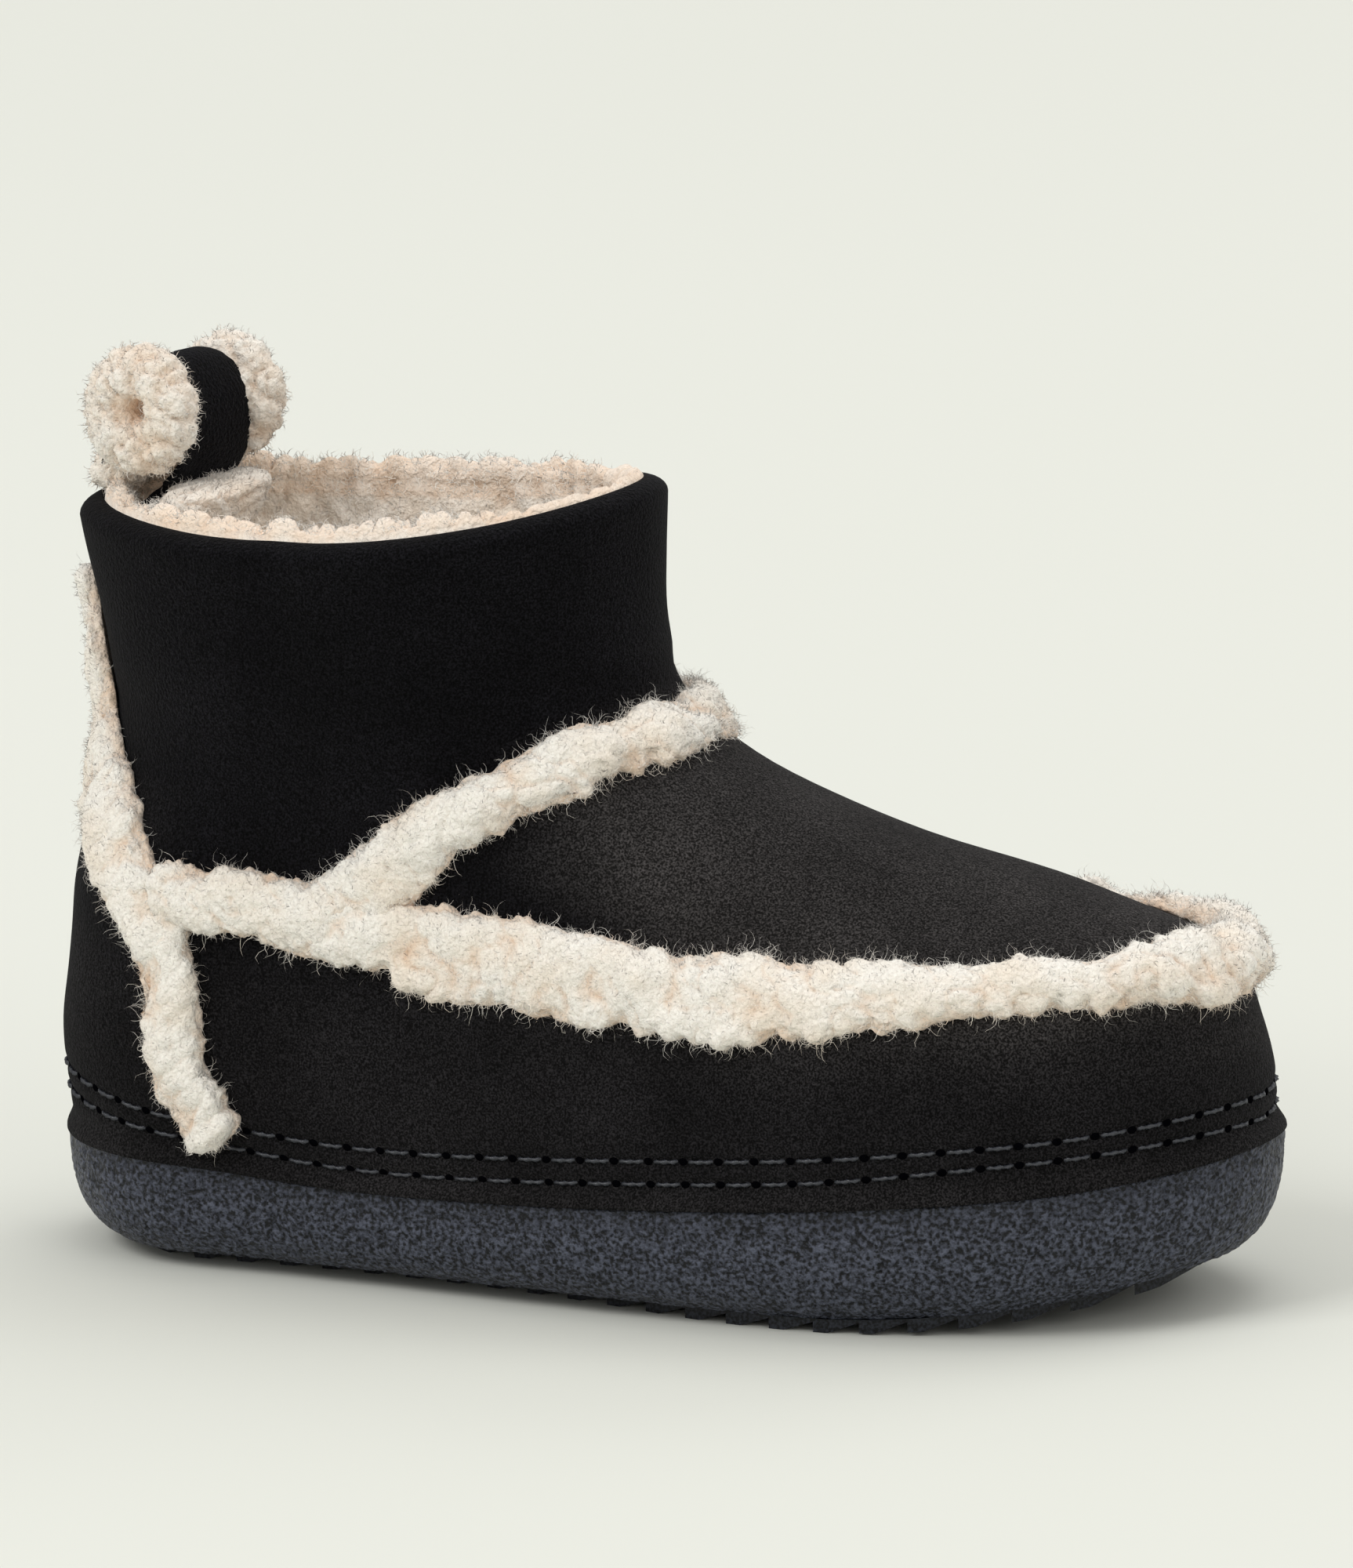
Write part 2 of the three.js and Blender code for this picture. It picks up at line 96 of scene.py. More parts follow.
SOLE_LINE = table(
    "x under top",
    (0, 0, 26),
    (40, 0, 25.4),
    (85, 0, 23.2),
    (125, 0, 24.2),
    (160, 0, 26.2),
    (195, 0, 28.6),
    (225, 1.6, 31),
    (250, 4.6, 33),
    (270, 8.4, 35.6),
    (282, 10.5, 37.6),
)
SOLE_SIDE = table(
    "share out",
    (0, -7.5),
    (0.09, -4.5),
    (0.24, -1.8),
    (0.5, 0.4),
    (0.8, 1.3),
    (1, 1.5),
)

# The wool strips: their middle lines on the surface and their widths along the way.
SIDE_STRIP = table(
    "round z width",
    (0.105, 85.5, 17),
    (0.15, 85.2, 17),
    (0.19, 82.5, 19),
    (0.23, 78.3, 20.5),
    (0.27, 75, 20.5),
    (0.31, 71, 20),
    (0.36, 69.2, 18),
    (0.41, 68.2, 13.5),
    (0.46, 66.6, 14),
    (0.5, 63.2, 16.5),
)
INSTEP_STRIP = table(
    "round z width",
    (0.175, 84.5, 14),
    (0.2, 89, 15.5),
    (0.235, 96.2, 16.5),
    (0.27, 103, 16.5),
    (0.31, 109, 16),
    (0.35, 113.5, 15.5),
    (0.4, 118, 15.5),
    (0.45, 121, 16),
    (0.5, 121.5, 17),
)
HEEL_STRIP = table(
    "round z width",
    (0.012, 151, 12),
    (0.021, 133, 18),
    (0.038, 118, 22),
    (0.063, 105, 23),
    (0.087, 94, 20),
    (0.1, 82, 16),
    (0.102, 66, 15.5),
    (0.104, 50, 16),
    (0.108, 40, 15),
    (0.116, 31, 13.5),
)

# The two rows of stitches above the sole.
UPPER_ROW = table(
    "round z",
    (0, 40.5),
    (0.052, 39.3),
    (0.094, 35.6),
    (0.135, 34.6),
    (0.181, 34.6),
    (0.256, 35.5),
    (0.327, 36),
    (0.398, 36.5),
    (0.454, 36),
    (0.5, 34.8),
)
LOWER_ROW = table(
    "round z",
    (0, 35.4),
    (0.054, 34),
    (0.081, 32),
    (0.138, 29.8),
    (0.179, 29.6),
    (0.263, 30.5),
    (0.333, 31),
    (0.398, 32.3),
    (0.46, 31.3),
    (0.5, 29.6),
)
STITCH = {"pitch": 8.3, "thread": 0.48, "long": 6.4, "hole": 1.3}
SEAM_TROUGH = {"deep": 0.55, "half": 1.5}

# Soft creases of the suede: middle, half sizes along and up, slant and depth (ridges are negative).
CREASES = table(
    "round z half_round half_z slant deep",
    (0.44, 131, 0.085, 3.2, -40, 0.9),
    (0.36, 139, 0.06, 3.6, -60, 0.6),
    (0.56, 132, 0.085, 3.4, 40, 0.9),
    (0.09, 126, 0.035, 4.5, 60, 0.7),
    (0.91, 126, 0.035, 4.5, -60, 0.7),
    (0.41, 84, 0.035, 4.0, 90, 0.5),
    (0.59, 84, 0.035, 4.0, -90, 0.5),
    (0.30, 88, 0.03, 4.5, 40, 0.45),
    (0.26, 54, 0.05, 4.5, 0, 0.5),
    (0.74, 54, 0.05, 4.5, 0, 0.5),
)

# ---------------------------------------------------------------- small maths


def smooth(rows, column, along, at):
    """A smooth curve through one column of a table, read at places along another column."""
    x, y = rows[along], rows[column]
    step = np.diff(x)
    rate = np.diff(y) / step
    slope = np.empty(len(x))
    slope[0], slope[-1] = rate[0], rate[-1]
    slope[1:-1] = (rate[:-1] * step[1:] + rate[1:] * step[:-1]) / (step[:-1] + step[1:])
    place = np.clip(at, x[0], x[-1])
    i = np.clip(np.searchsorted(x, place, side="right") - 1, 0, len(x) - 2)
    t = (place - x[i]) / step[i]
    bend = t * t * (3 - 2 * t)
    start = step[i] * slope[i] * t * (1 - t) ** 2
    end = step[i] * slope[i + 1] * t * t * (1 - t)
    return y[i] * (1 - bend) + y[i + 1] * bend + start - end


def smoothstep(value, low, high):
    """0 below low and 1 above high, with a smooth rise between them."""
    t = np.clip((np.asarray(value, float) - low) / (high - low), 0, 1)
    return t * t * (3 - 2 * t)


def unit(v):
    """Vectors of length 1 along v."""
    return v / np.maximum(np.linalg.norm(v, axis=-1, keepdims=True), 1e-12)


def dot(a, b):
    """Dot products of rows of vectors, kept as a last axis of one."""
    return (a * b).sum(-1, keepdims=True)


def waves(seed, size, count=24):
    """A seeded soft noise in space, about -2 to 2, whose swells are about size millimetres long."""
    rng = np.random.default_rng(seed)
    length = size * rng.uniform(0.7, 1.5, count)
    turns = 2 * np.pi * unit(rng.normal(size=(count, 3))) / length[:, None]
    phase = rng.uniform(0, 2 * np.pi, count)

    def field(points):
        return np.sin(points @ turns.T + phase).sum(-1) / np.sqrt(count / 2)

    return field


def puffs(seed, size):
    """A seeded noise of rounded tufts with narrow creases between them, from 0 to 1."""
    first, second = waves(seed, size), waves(seed + 1, size * 0.6)

    def field(points):
        broad = 1 - np.exp(-2.2 * np.abs(first(points)))
        fine = 1 - np.exp(-2.2 * np.abs(second(points)))
        return 0.62 * broad + 0.38 * fine

    return field


# ---------------------------------------------------------------- the upper's surface


def swing(x):
    """How far the last's middle line has curved to the inner side at x."""
    return TOE_SWING["sideways"] * np.maximum((x - TOE_SWING["start"]) / TOE_SWING["length"], 0) ** 2


def lift(x, z):
    """Height added to a level: the sole's curve low down, the collar's own line at the top."""
    sole = smooth(SOLE_LINE, "top", "x", x) - SOLE_TOP
    low = smoothstep(LIFT_FADE["top"] - z, 0, LIFT_FADE["height"])
    forward = np.clip((x - COLLAR_RISE["start"]) / COLLAR_RISE["length"], 0, 1)
    high = smoothstep(z, COLLAR - COLLAR_RISE["below"], COLLAR)
    dip = COLLAR_DIP["deep"] * np.exp(-(((x - COLLAR_DIP["x"]) / COLLAR_DIP["half"]) ** 2))
    return sole * low + (COLLAR_RISE["height"] * forward**2 - dip) * high


def outline(z, side):
    """A level's outline from heel to toe, evenly spaced: side is -1 outer or 1 inner."""
    s = {name: smooth(SECTIONS, name, "z", z) for name in SECTIONS if name != "z"}
    share = np.linspace(0, 1, COLUMNS + 1)
    x = s["back"] + (s["front"] - s["back"]) * (1 - np.cos(np.pi * share)) / 2
    wide = smoothstep(x, s["back"] + s["back_cap"], s["front"] - s["front_cap"])
    heel_end = 1 - np.clip((x - s["back"]) / s["back_cap"], 0, 1)
    toe_end = 1 - np.clip((s["front"] - x) / s["front_cap"], 0, 1)
    ends = np.sqrt(1 - heel_end**2) * np.sqrt(1 - toe_end ** s["square"])
    y = swing(x) + side * (s["heel"] + (s["ball"] - s["heel"]) * wide) * ends
    run = np.concatenate([[0], np.cumsum(np.hypot(np.diff(x), np.diff(y)))])
    at = np.linspace(0, run[-1], COLUMNS // 2 + 1)
    return np.stack([np.interp(at, run, x), np.interp(at, run, y)], -1)


def level(z):
    """One whole level as a closed loop of points, with the sole's and the collar's lift added."""
    outer, inner = outline(z, -1), outline(z, 1)
    loop = np.concatenate([outer[:-1], inner[::-1][:-1]])
    return np.column_stack([loop, z + lift(loop[:, 0], z)])


LEVELS = np.array([level(z) for z in np.arange(SOLE_TOP, COLLAR + 1)])


def on_surface(around, z):
    """Points of the upper's outer surface, read between the levels and columns of its table."""
    around, z = np.broadcast_arrays(np.asarray(around, float), np.asarray(z, float))
    row = np.clip(z - SOLE_TOP, 0, len(LEVELS) - 1)
    i = np.minimum(row.astype(int), len(LEVELS) - 2)
    column = (around % 1) * COLUMNS
    j = column.astype(int) % COLUMNS
    k = (j + 1) % COLUMNS
    side = (column - np.floor(column))[..., None]
    up = (row - i)[..., None]
    low = LEVELS[i, j] * (1 - side) + LEVELS[i, k] * side
    high = LEVELS[i + 1, j] * (1 - side) + LEVELS[i + 1, k] * side
    return low * (1 - up) + high * up


def runs(around, z):
    """How the surface runs at a place: along the level, up the wall and straight out."""
    along = (on_surface(around + STEP, z) - on_surface(around - STEP, z)) / (2 * STEP)
    middle = np.clip(z, SOLE_TOP + 1, COLLAR - 1)
    up = (on_surface(around, middle + 1) - on_surface(around, middle - 1)) / 2
    return along, up, unit(np.cross(along, up))


def offset(around, z, out, up=0.0):
    """Points that stand out from the surface, and up."""
    point = on_surface(around, z) + runs(around, z)[2] * np.asarray(out)[..., None]
    point[..., 2] += up
    return point


def lip(z):
    """How far the suede flares at a level, just over the sole."""
    return LIP["out"] * (1 - smoothstep(z, SOLE_TOP, SOLE_TOP + LIP["height"]))


def row_level(path, around):
    """The level of a row that runs round the boot, the same on both sides."""
    return smooth(path, "z", "round", np.minimum(around % 1, 1 - around % 1))


def suede_relief(around, z):
    """What the suede adds to the surface: creases, seam troughs and a soft unevenness."""
    depth = np.zeros(np.broadcast(around, z).shape)
    for row in range(len(CREASES["z"])):
        c = {name: CREASES[name][row] for name in CREASES}
        across = (around - c["round"]) / c["half_round"]
        up = (z - c["z"] - c["slant"] * (around - c["round"])) / c["half_z"]
        depth -= c["deep"] * np.exp(-(across**2) - up**2)
    for path in (UPPER_ROW, LOWER_ROW):
        away = (z - row_level(path, around)) / SEAM_TROUGH["half"]
        depth -= SEAM_TROUGH["deep"] * np.exp(-(away**2))
    uneven = waves(3, 46)(on_surface(around, z)) * 0.32
    return depth + uneven * smoothstep(z, 36, 60)


# ---------------------------------------------------------------- meshes


def grid_faces(rows, columns, closed):
    """Quads between rings that follow each other; the last ring joins the first when closed."""
    i = np.arange(rows if closed else rows - 1)[:, None]
    j = np.arange(columns)[None, :]
    high = ((i + 1) % rows) * columns
    corners = [i * columns + j, i * columns + (j + 1) % columns, high + (j + 1) % columns, high + j]
    return np.stack(np.broadcast_arrays(*corners), -1).reshape(-1, 4)


def normals(grid, closed):
    """The outward direction at each point of a grid of rings."""
    along = np.roll(grid, -1, 1) - np.roll(grid, 1, 1)
    up = np.roll(grid, -1, 0) - np.roll(grid, 1, 0) if closed else np.gradient(grid, axis=0)
    return unit(np.cross(along, up))


def piece(name, points, faces, look, painted_shading=None):
    """A new object from points in the boot's own sizes. faces is a list of arrays of corners."""
    mesh = bpy.data.meshes.new(name)
    placed = (points.reshape(-1, 3) - ORIGIN) * METRES
    corners = np.concatenate([f.ravel() for f in faces])
    sizes = np.concatenate([np.full(len(f), f.shape[1]) for f in faces])
    mesh.vertices.add(len(placed))
    mesh.vertices.foreach_set("co", placed.astype(np.float32).ravel())
    mesh.loops.add(len(corners))
    mesh.loops.foreach_set("vertex_index", corners.astype(np.int32))
    mesh.polygons.add(len(sizes))
    mesh.polygons.foreach_set("loop_start", (np.cumsum(sizes) - sizes).astype(np.int32))
    # Painted shading, where a piece has some, is kept on its points as an attribute.
    if painted_shading is not None:
        shade = mesh.attributes.new("painted_shading", "FLOAT", "POINT")
        shade.data.foreach_set("value", painted_shading.astype(np.float32).ravel())
    mesh.update(calc_edges=True)
    mesh.validate()
    mesh.shade_smooth()
    mesh.materials.append(look)
    made = bpy.data.objects.new(name, mesh)
    bpy.context.scene.collection.objects.link(made)
    return made


def weld(made):
    """Joins points that lie on each other, so that closed ends have no flat faces."""
    work = bmesh.new()
    work.from_mesh(made.data)
    bmesh.ops.remove_doubles(work, verts=work.verts, dist=2e-6)
    work.to_mesh(made.data)
    work.free()
    return made


def add(made, slot, *nodes):
    """The piece rides on the boot's one body and stands for these CAD nodes."""
    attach(made, "root")
    if nodes:
        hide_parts(*nodes)
    return made


# ---------------------------------------------------------------- materials

# Sizes of what the shaders add, in millimetres: swells of colour, and the relief's swells and depth.
NAP = {"patch": 30, "speck": 0.45, "size": 0.9, "deep": 0.9}
FLEECE = {"tint": 16, "fluff": 0.9, "size": 1.1, "deep": 1.3}
MIX = {"factor": 0, "a": 6, "b": 7, "result": 2}  # the mix node's sockets for colours


def new_material(name, roughness):
    """A material with its shader and its object coordinates."""
    material = bpy.data.materials.new(name)
    material.use_nodes = True
    nodes = material.node_tree.nodes
    shader = nodes["Principled BSDF"]
    shader.inputs["Roughness"].default_value = roughness
    place = nodes.new("ShaderNodeTexCoord").outputs["Object"]
    return material, shader, place


def node(material, kind, **inputs):
    """A node with its sockets set: a socket is linked where the value is a socket."""
    made = material.node_tree.nodes.new(kind)
    for name, value in inputs.items():
        socket = made.inputs[name.replace("_", " ")]
        if isinstance(value, bpy.types.NodeSocket):
            material.node_tree.links.new(value, socket)
        else:
            socket.default_value = value
    return made


def noise(material, place, size, detail=2.0):
    """Noise whose swells are about size millimetres long."""
    made = node(material, "ShaderNodeTexNoise", Vector=place, Scale=1 / (size * METRES), Detail=detail)
    return made.outputs["Fac"]


def painted_shading_of(material):
    """The painted shading that a piece carries on its points, from 0 darkest to 1 lightest."""
    made = material.node_tree.nodes.new("ShaderNodeAttribute")
    made.attribute_name = "painted_shading"
    return made.outputs["Fac"]


def blend(material, factor, low, high):
    """A colour that runs from low to high as the factor rises. Each end is (place, colour)."""
    ramp = material.node_tree.nodes.new("ShaderNodeValToRGB")
    material.node_tree.links.new(factor, ramp.inputs["Fac"])
    ramp.color_ramp.elements[0].position, low_colour = low
    ramp.color_ramp.elements[1].position, high_colour = high
    ramp.color_ramp.elements[0].color = (*low_colour, 1)
    ramp.color_ramp.elements[1].color = (*high_colour, 1)
    return ramp.outputs["Color"]


def grey(value):
    """A neutral colour."""
    return (value, value, value)


def mottle(material, place, size, detail, low, high):
    """A colour that wanders from low to high in swells of about size millimetres."""
    return blend(material, noise(material, place, size, detail), low, high)


def multiply(material, a, b):
    """One colour socket times another."""
    made = material.node_tree.nodes.new("ShaderNodeMix")
    made.data_type = "RGBA"
    made.blend_type = "MULTIPLY"
    made.inputs[MIX["factor"]].default_value = 1.0
    material.node_tree.links.new(a, made.inputs[MIX["a"]])
    material.node_tree.links.new(b, made.inputs[MIX["b"]])
    return made.outputs[MIX["result"]]


def bump(material, height, distance):
    """A bumped normal whose relief is distance millimetres deep."""
    made = node(material, "ShaderNodeBump", Height=height, Distance=distance * METRES, Strength=1.0)
    return made.outputs["Normal"]


def wire(material, shader, colour, normal):
    """Links the colour and the normal, and gives the finished material."""
    material.node_tree.links.new(colour, shader.inputs["Base Color"])
    material.node_tree.links.new(normal, shader.inputs["Normal"])
    return material


def suede_look(name, dark, light):
    """Napped suede: an attribute runs it from dark to light, mostly painted light where it faces up,
    under patches and a fine grain.
    """
    material, shader, place = new_material(name, 0.95)
    shader.inputs["Specular IOR Level"].default_value = 0.06
    shader.inputs["Sheen Weight"].default_value = 0.02
    # Painted light: the suede is paler where it faces up, as if lit from above.
    nap_tone_and_painted_light = blend(material, painted_shading_of(material), (0.0, dark), (1.0, light))
    patches = mottle(material, place, NAP["patch"], 3, (0.35, grey(0.75)), (0.68, grey(1.3)))
    grain = mottle(material, place, NAP["speck"], 3, (0.42, grey(0.35)), (0.7, (2.8, 2.8, 2.9)))
    colour = multiply(material, multiply(material, nap_tone_and_painted_light, patches), grain)
    relief = bump(material, noise(material, place, NAP["size"], 4), NAP["deep"])
    return wire(material, shader, colour, relief)


def wool_look(name, deep, tip):
    """Cream pile that turns beige where it is deep, a painted shade of its crevices: the attribute is 0
    deep and 1 at the tips.
    """
    material, shader, place = new_material(name, 1.0)
    shader.inputs["Specular IOR Level"].default_value = 0.1
    shader.inputs["Sheen Weight"].default_value = 0.25
    shader.inputs["Sheen Roughness"].default_value = 0.6
    # Painted shade: beige deep in the pile, where shade falls, cream at the tips.
    shade = blend(material, painted_shading_of(material), (0.1, deep), (0.75, tip))
    tint = mottle(material, place, FLEECE["tint"], 2, (0.42, grey(1)), (0.72, (0.97, 0.9, 0.83)))
    low, high = (0.94, 0.92, 0.9), (1.03, 1.03, 1.02)
    fluff = mottle(material, place, FLEECE["fluff"], 4, (0.35, low), (0.6, high))
    colour = multiply(material, multiply(material, shade, tint), fluff)
    relief = bump(material, noise(material, place, FLEECE["size"], 5), FLEECE["deep"])
    return wire(material, shader, colour, relief)


def rubber_look(name, dark, light, grain, deep):
    """Moulded rubber, painted darker in the pits of its pebbled face: its shading attribute, where there
    is one, is 0 in the pits.
    """
    material, shader, place = new_material(name, 0.42)
    shader.inputs["Specular IOR Level"].default_value = 0.25
    # Painted shade in the pits and painted glints on the pebbles, from a noise like the bump's own.
    painted_pit_shade_and_glints = mottle(material, place, grain, 5, (0.4, grey(0.12)), (0.62, grey(1.95)))
    painted_pebble_shade = blend(material, painted_shading_of(material), (0.25, dark), (0.85, light))
    relief = bump(material, noise(material, place, grain, 4), deep)
    return wire(material, shader, multiply(material, painted_pebble_shade, painted_pit_shade_and_glints), relief)


def thread_look(name, colour, shine):
    """Waxed thread, with a fine twist in its colour."""
    material, shader, place = new_material(name, 0.32)
    shader.inputs["Specular IOR Level"].default_value = shine
    twist = mottle(material, place, 0.8, 2, (0.3, colour), (0.8, [c * 1.7 for c in colour]))
    return wire(material, shader, twist, bump(material, noise(material, place, 0.3), 0.1))


# The suede's light colour is the painted light where it faces up.
SUEDE = suede_look("black_suede", (0.0031, 0.003, 0.0038), (0.024, 0.0222, 0.0212))
# The wools' deep colours are painted shade in the crevices of their pile.
WOOL = wool_look("cream_wool", (0.86, 0.66, 0.5), (0.985, 0.945, 0.87))
LINING = wool_look("peach_wool", (0.94, 0.74, 0.58), (0.99, 0.92, 0.83))
# The rubbers' dark colours are painted shade in the pits.
RUBBER = rubber_look("sole_rubber", (0.008, 0.009, 0.014), (0.047, 0.052, 0.071), 0.95, 1.0)
TREAD = rubber_look("tread_rubber", (0.012, 0.0135, 0.018), (0.02, 0.0225, 0.03), 0.7, 0.1)
THREAD = thread_look("waxed_thread", (0.022, 0.024, 0.03), 0.55)
# The holes' near-black colour is painted shade.
HOLE_SHADE = thread_look("painted_hole_shade", (0.001, 0.001, 0.0015), 0.0)

# ---------------------------------------------------------------- fibres


HAIR_LIT = np.array([0.0, 0.0, 0.8])  # the hairs' normals lean up by this much
# How far each kind of hair strays from straight out, its length, thickness and curl, and its steps.
HAIRS = {
    "lining": {"spread": 0.5, "long": 2.8, "thick": 0.16, "curl": 1.0, "steps": 3},
    "fringe": {"spread": 0.8, "long": 2.2, "thick": 0.1, "curl": 1.0, "steps": 3},
    "fuzz": {"spread": 1.3, "long": 1.6, "thick": 0.1, "curl": 0.8, "steps": 2},
    "stray": {"spread": 0.9, "long": 3.8, "thick": 0.065, "curl": 1.6, "steps": 5},
    "roll": {"spread": 0.9, "long": 1.9, "thick": 0.1, "curl": 0.9, "steps": 3},
    "tuft": {"spread": 0.8, "long": 2.0, "thick": 0.1, "curl": 0.9, "steps": 3},
}


def fibres(name, roots, out, kind, seed, shade=1.0, look=WOOL):
    """Curly tapered hairs as one mesh. Each leaves the surface about along out and winds sideways.

    They are lit as the surface below them is, and cast no shadow, as light goes through real wool."""
    rng = np.random.default_rng(seed)
    hair, steps = HAIRS[kind], HAIRS[kind]["steps"]
    way = unit(out + hair["spread"] * rng.normal(size=out.shape))
    count = len(roots)
    reach = hair["long"] * rng.uniform(0.55, 1.25, (count, 1, 1))
    side = unit(np.cross(way, rng.normal(size=(count, 3))))
    other = np.cross(way, side)
    share = np.linspace(0, 1, steps + 1)[None, :, None]
    turn = rng.uniform(0, 2 * np.pi, (count, 1, 1)) + share * rng.uniform(2, 6, (count, 1, 1))
    swell = hair["curl"] * share * rng.uniform(0.4, 1.3, (count, 1, 1))
    bend = np.cos(turn) * side[:, None] + np.sin(turn) * other[:, None]
    middle = roots[:, None] + way[:, None] * reach * share + bend * swell
    corner = np.arange(3) * 2 * np.pi / 3
    ring = side[:, None] * np.cos(corner)[:, None] + other[:, None] * np.sin(corner)[:, None]
    radius = hair["thick"] * (1 - 0.6 * share[:, :-1, :, None])
    tube = middle[:, :-1, None] + ring[:, None] * radius
    points = np.concatenate([tube.reshape(count, -1, 3), middle[:, -1:]], 1)
    size = points.shape[1]
    first = (np.arange(count) * size)[:, None, None]
    walls = first + grid_faces(steps, 3, False)[None]
    tip = (steps - 1) * 3
    tip_faces = [[tip, tip + 1, size - 1], [tip + 1, tip + 2, size - 1], [tip + 2, tip, size - 1]]
    ends = first + np.array([*tip_faces, [2, 1, 0]])[None]
    # Painted shade: each hair is darker at its root and carries the painted shade of the surface it grows
    # from.
    light = 0.85 + 0.15 * share * np.ones((count, 1, 1))
    light = np.concatenate([np.repeat(light[:, :-1, 0], 3, 1), light[:, -1:, 0]], 1)
    painted_shading = light * np.reshape(shade, (-1, 1))
    made = piece(name, points, [walls.reshape(-1, 4), ends.reshape(-1, 3)], look, painted_shading)
    lit = unit(out + HAIR_LIT)
    made.data.normals_split_custom_set_from_vertices(np.repeat(lit, size, 0).tolist())
    made.visible_shadow = False
    made.visible_diffuse = False
    return made


def scatter(grid, out, chance, count, seed):
    """Random places on a grid of points, chosen by how likely each cell is: roots, normals, cells."""
    rng = np.random.default_rng(seed)
    rows, columns = grid.shape[:2]
    size = np.linalg.norm(np.roll(grid, -1, 1) - grid, axis=-1)
    size = size * np.linalg.norm(np.roll(grid, -1, 0) - grid, axis=-1) * chance
    size[-1] = 0
    picked = rng.choice(rows * columns, count, p=(size / size.sum()).ravel())
    i, j = np.divmod(picked, columns)
    a, b = rng.uniform(0, 1, (2, count, 1))
    k, m = i + 1, (j + 1) % columns
    low = grid[i, j] * (1 - a) + grid[i, m] * a
    high = grid[k, j] * (1 - a) + grid[k, m] * a
    return low * (1 - b) + high * b, out[i, j], picked


# ---------------------------------------------------------------- suede upper and lining

AROUND = 480  # points round each ring of the suede
LINING_AROUND = 360
LOW_LEVELS = np.linspace(SOLE_TOP, 44, 26)  # close together, for the troughs of the stitches
HIGH_LEVELS = np.linspace(46, COLLAR, 58)
FOLD_OUT = np.radians([15, 30, 45, 60, 75, 90, 102])  # up the outside of the collar's fold and over
FOLD_BACK = np.radians([102, 75, 45, 20])  # and back under it
NAP_TONE_AND_PAINTED_LIGHT = {"all": 0.04, "low": 0.2, "edge": 0.12, "up": 1.25}  # how light the suede is painted, and where: painted light where it faces up, and lighter low down and just above the sole
TUCKED = 0.4  # the lining's wool starts this far behind the suede, and this far over its fold
RIM_ROWS = 12  # rings of the lining that lie over the collar's edge


def rolled(angle, inward):
    """The collar's folded edge: how far out and how high it is at an angle over the fold."""
    out = -ROLL["half"] + (ROLL["half"] - inward) * np.cos(angle)
    return out, (ROLL["high"] - inward) * np.sin(angle)


def rings(rows, columns):
    """A grid of points from rows of (level, out, up)."""
    around = np.linspace(0, 1, columns, endpoint=False)[None, :]
    z, out, up = (np.array(v, float)[:, None] for v in zip(*rows))
    return offset(around, z, out + 0 * around, up + 0 * around), around, z


def nap_tone_and_painted_light(out, z):
    """How light the suede is painted: palest where it faces up on the vamp, which is painted light,
    darkest on the shaft, and lighter low down and just above the sole.
    """
    low = 1 - smoothstep(z, 60, 90)
    edge = 1 - smoothstep(z, 27, 34)
    faces_up = smoothstep(out[..., 2], 0.1, 0.75)
    shade = NAP_TONE_AND_PAINTED_LIGHT["all"] + NAP_TONE_AND_PAINTED_LIGHT["low"] * low + NAP_TONE_AND_PAINTED_LIGHT["edge"] * edge + NAP_TONE_AND_PAINTED_LIGHT["up"] * faces_up
    return np.clip(shade, 0, 1)


def suede_skin():
    """The suede: up the outside, over the fold, down behind it and back under the lip."""
    outside = [(z, lip(z), GAP * (1 - smoothstep(z, 25, 28))) for z in [*LOW_LEVELS, *HIGH_LEVELS]]
    fold = [(COLLAR, *rolled(a, 0.0)) for a in FOLD_OUT]
    back = [(COLLAR, *rolled(a, SKIN)) for a in FOLD_BACK]
    inside = [(z, lip(z) - SKIN, 0.0) for z in np.linspace(COLLAR, 31, 16)]
    bottom = [(SOLE_TOP, LIP["out"] - SKIN, GAP)]
    grid, around, z = rings([*outside, *fold, *back, *inside, *bottom], AROUND)
    out = runs(around, z + 0 * around)[2]
    grid += out * suede_relief(around, z + 0 * around)[..., None]
    # The suede carries its painted light as an attribute of its points.
    made = piece("upper_suede", grid, [grid_faces(len(grid), AROUND, True)], SUEDE, nap_tone_and_painted_light(out, z))
    return add(made, "suede", "upper")


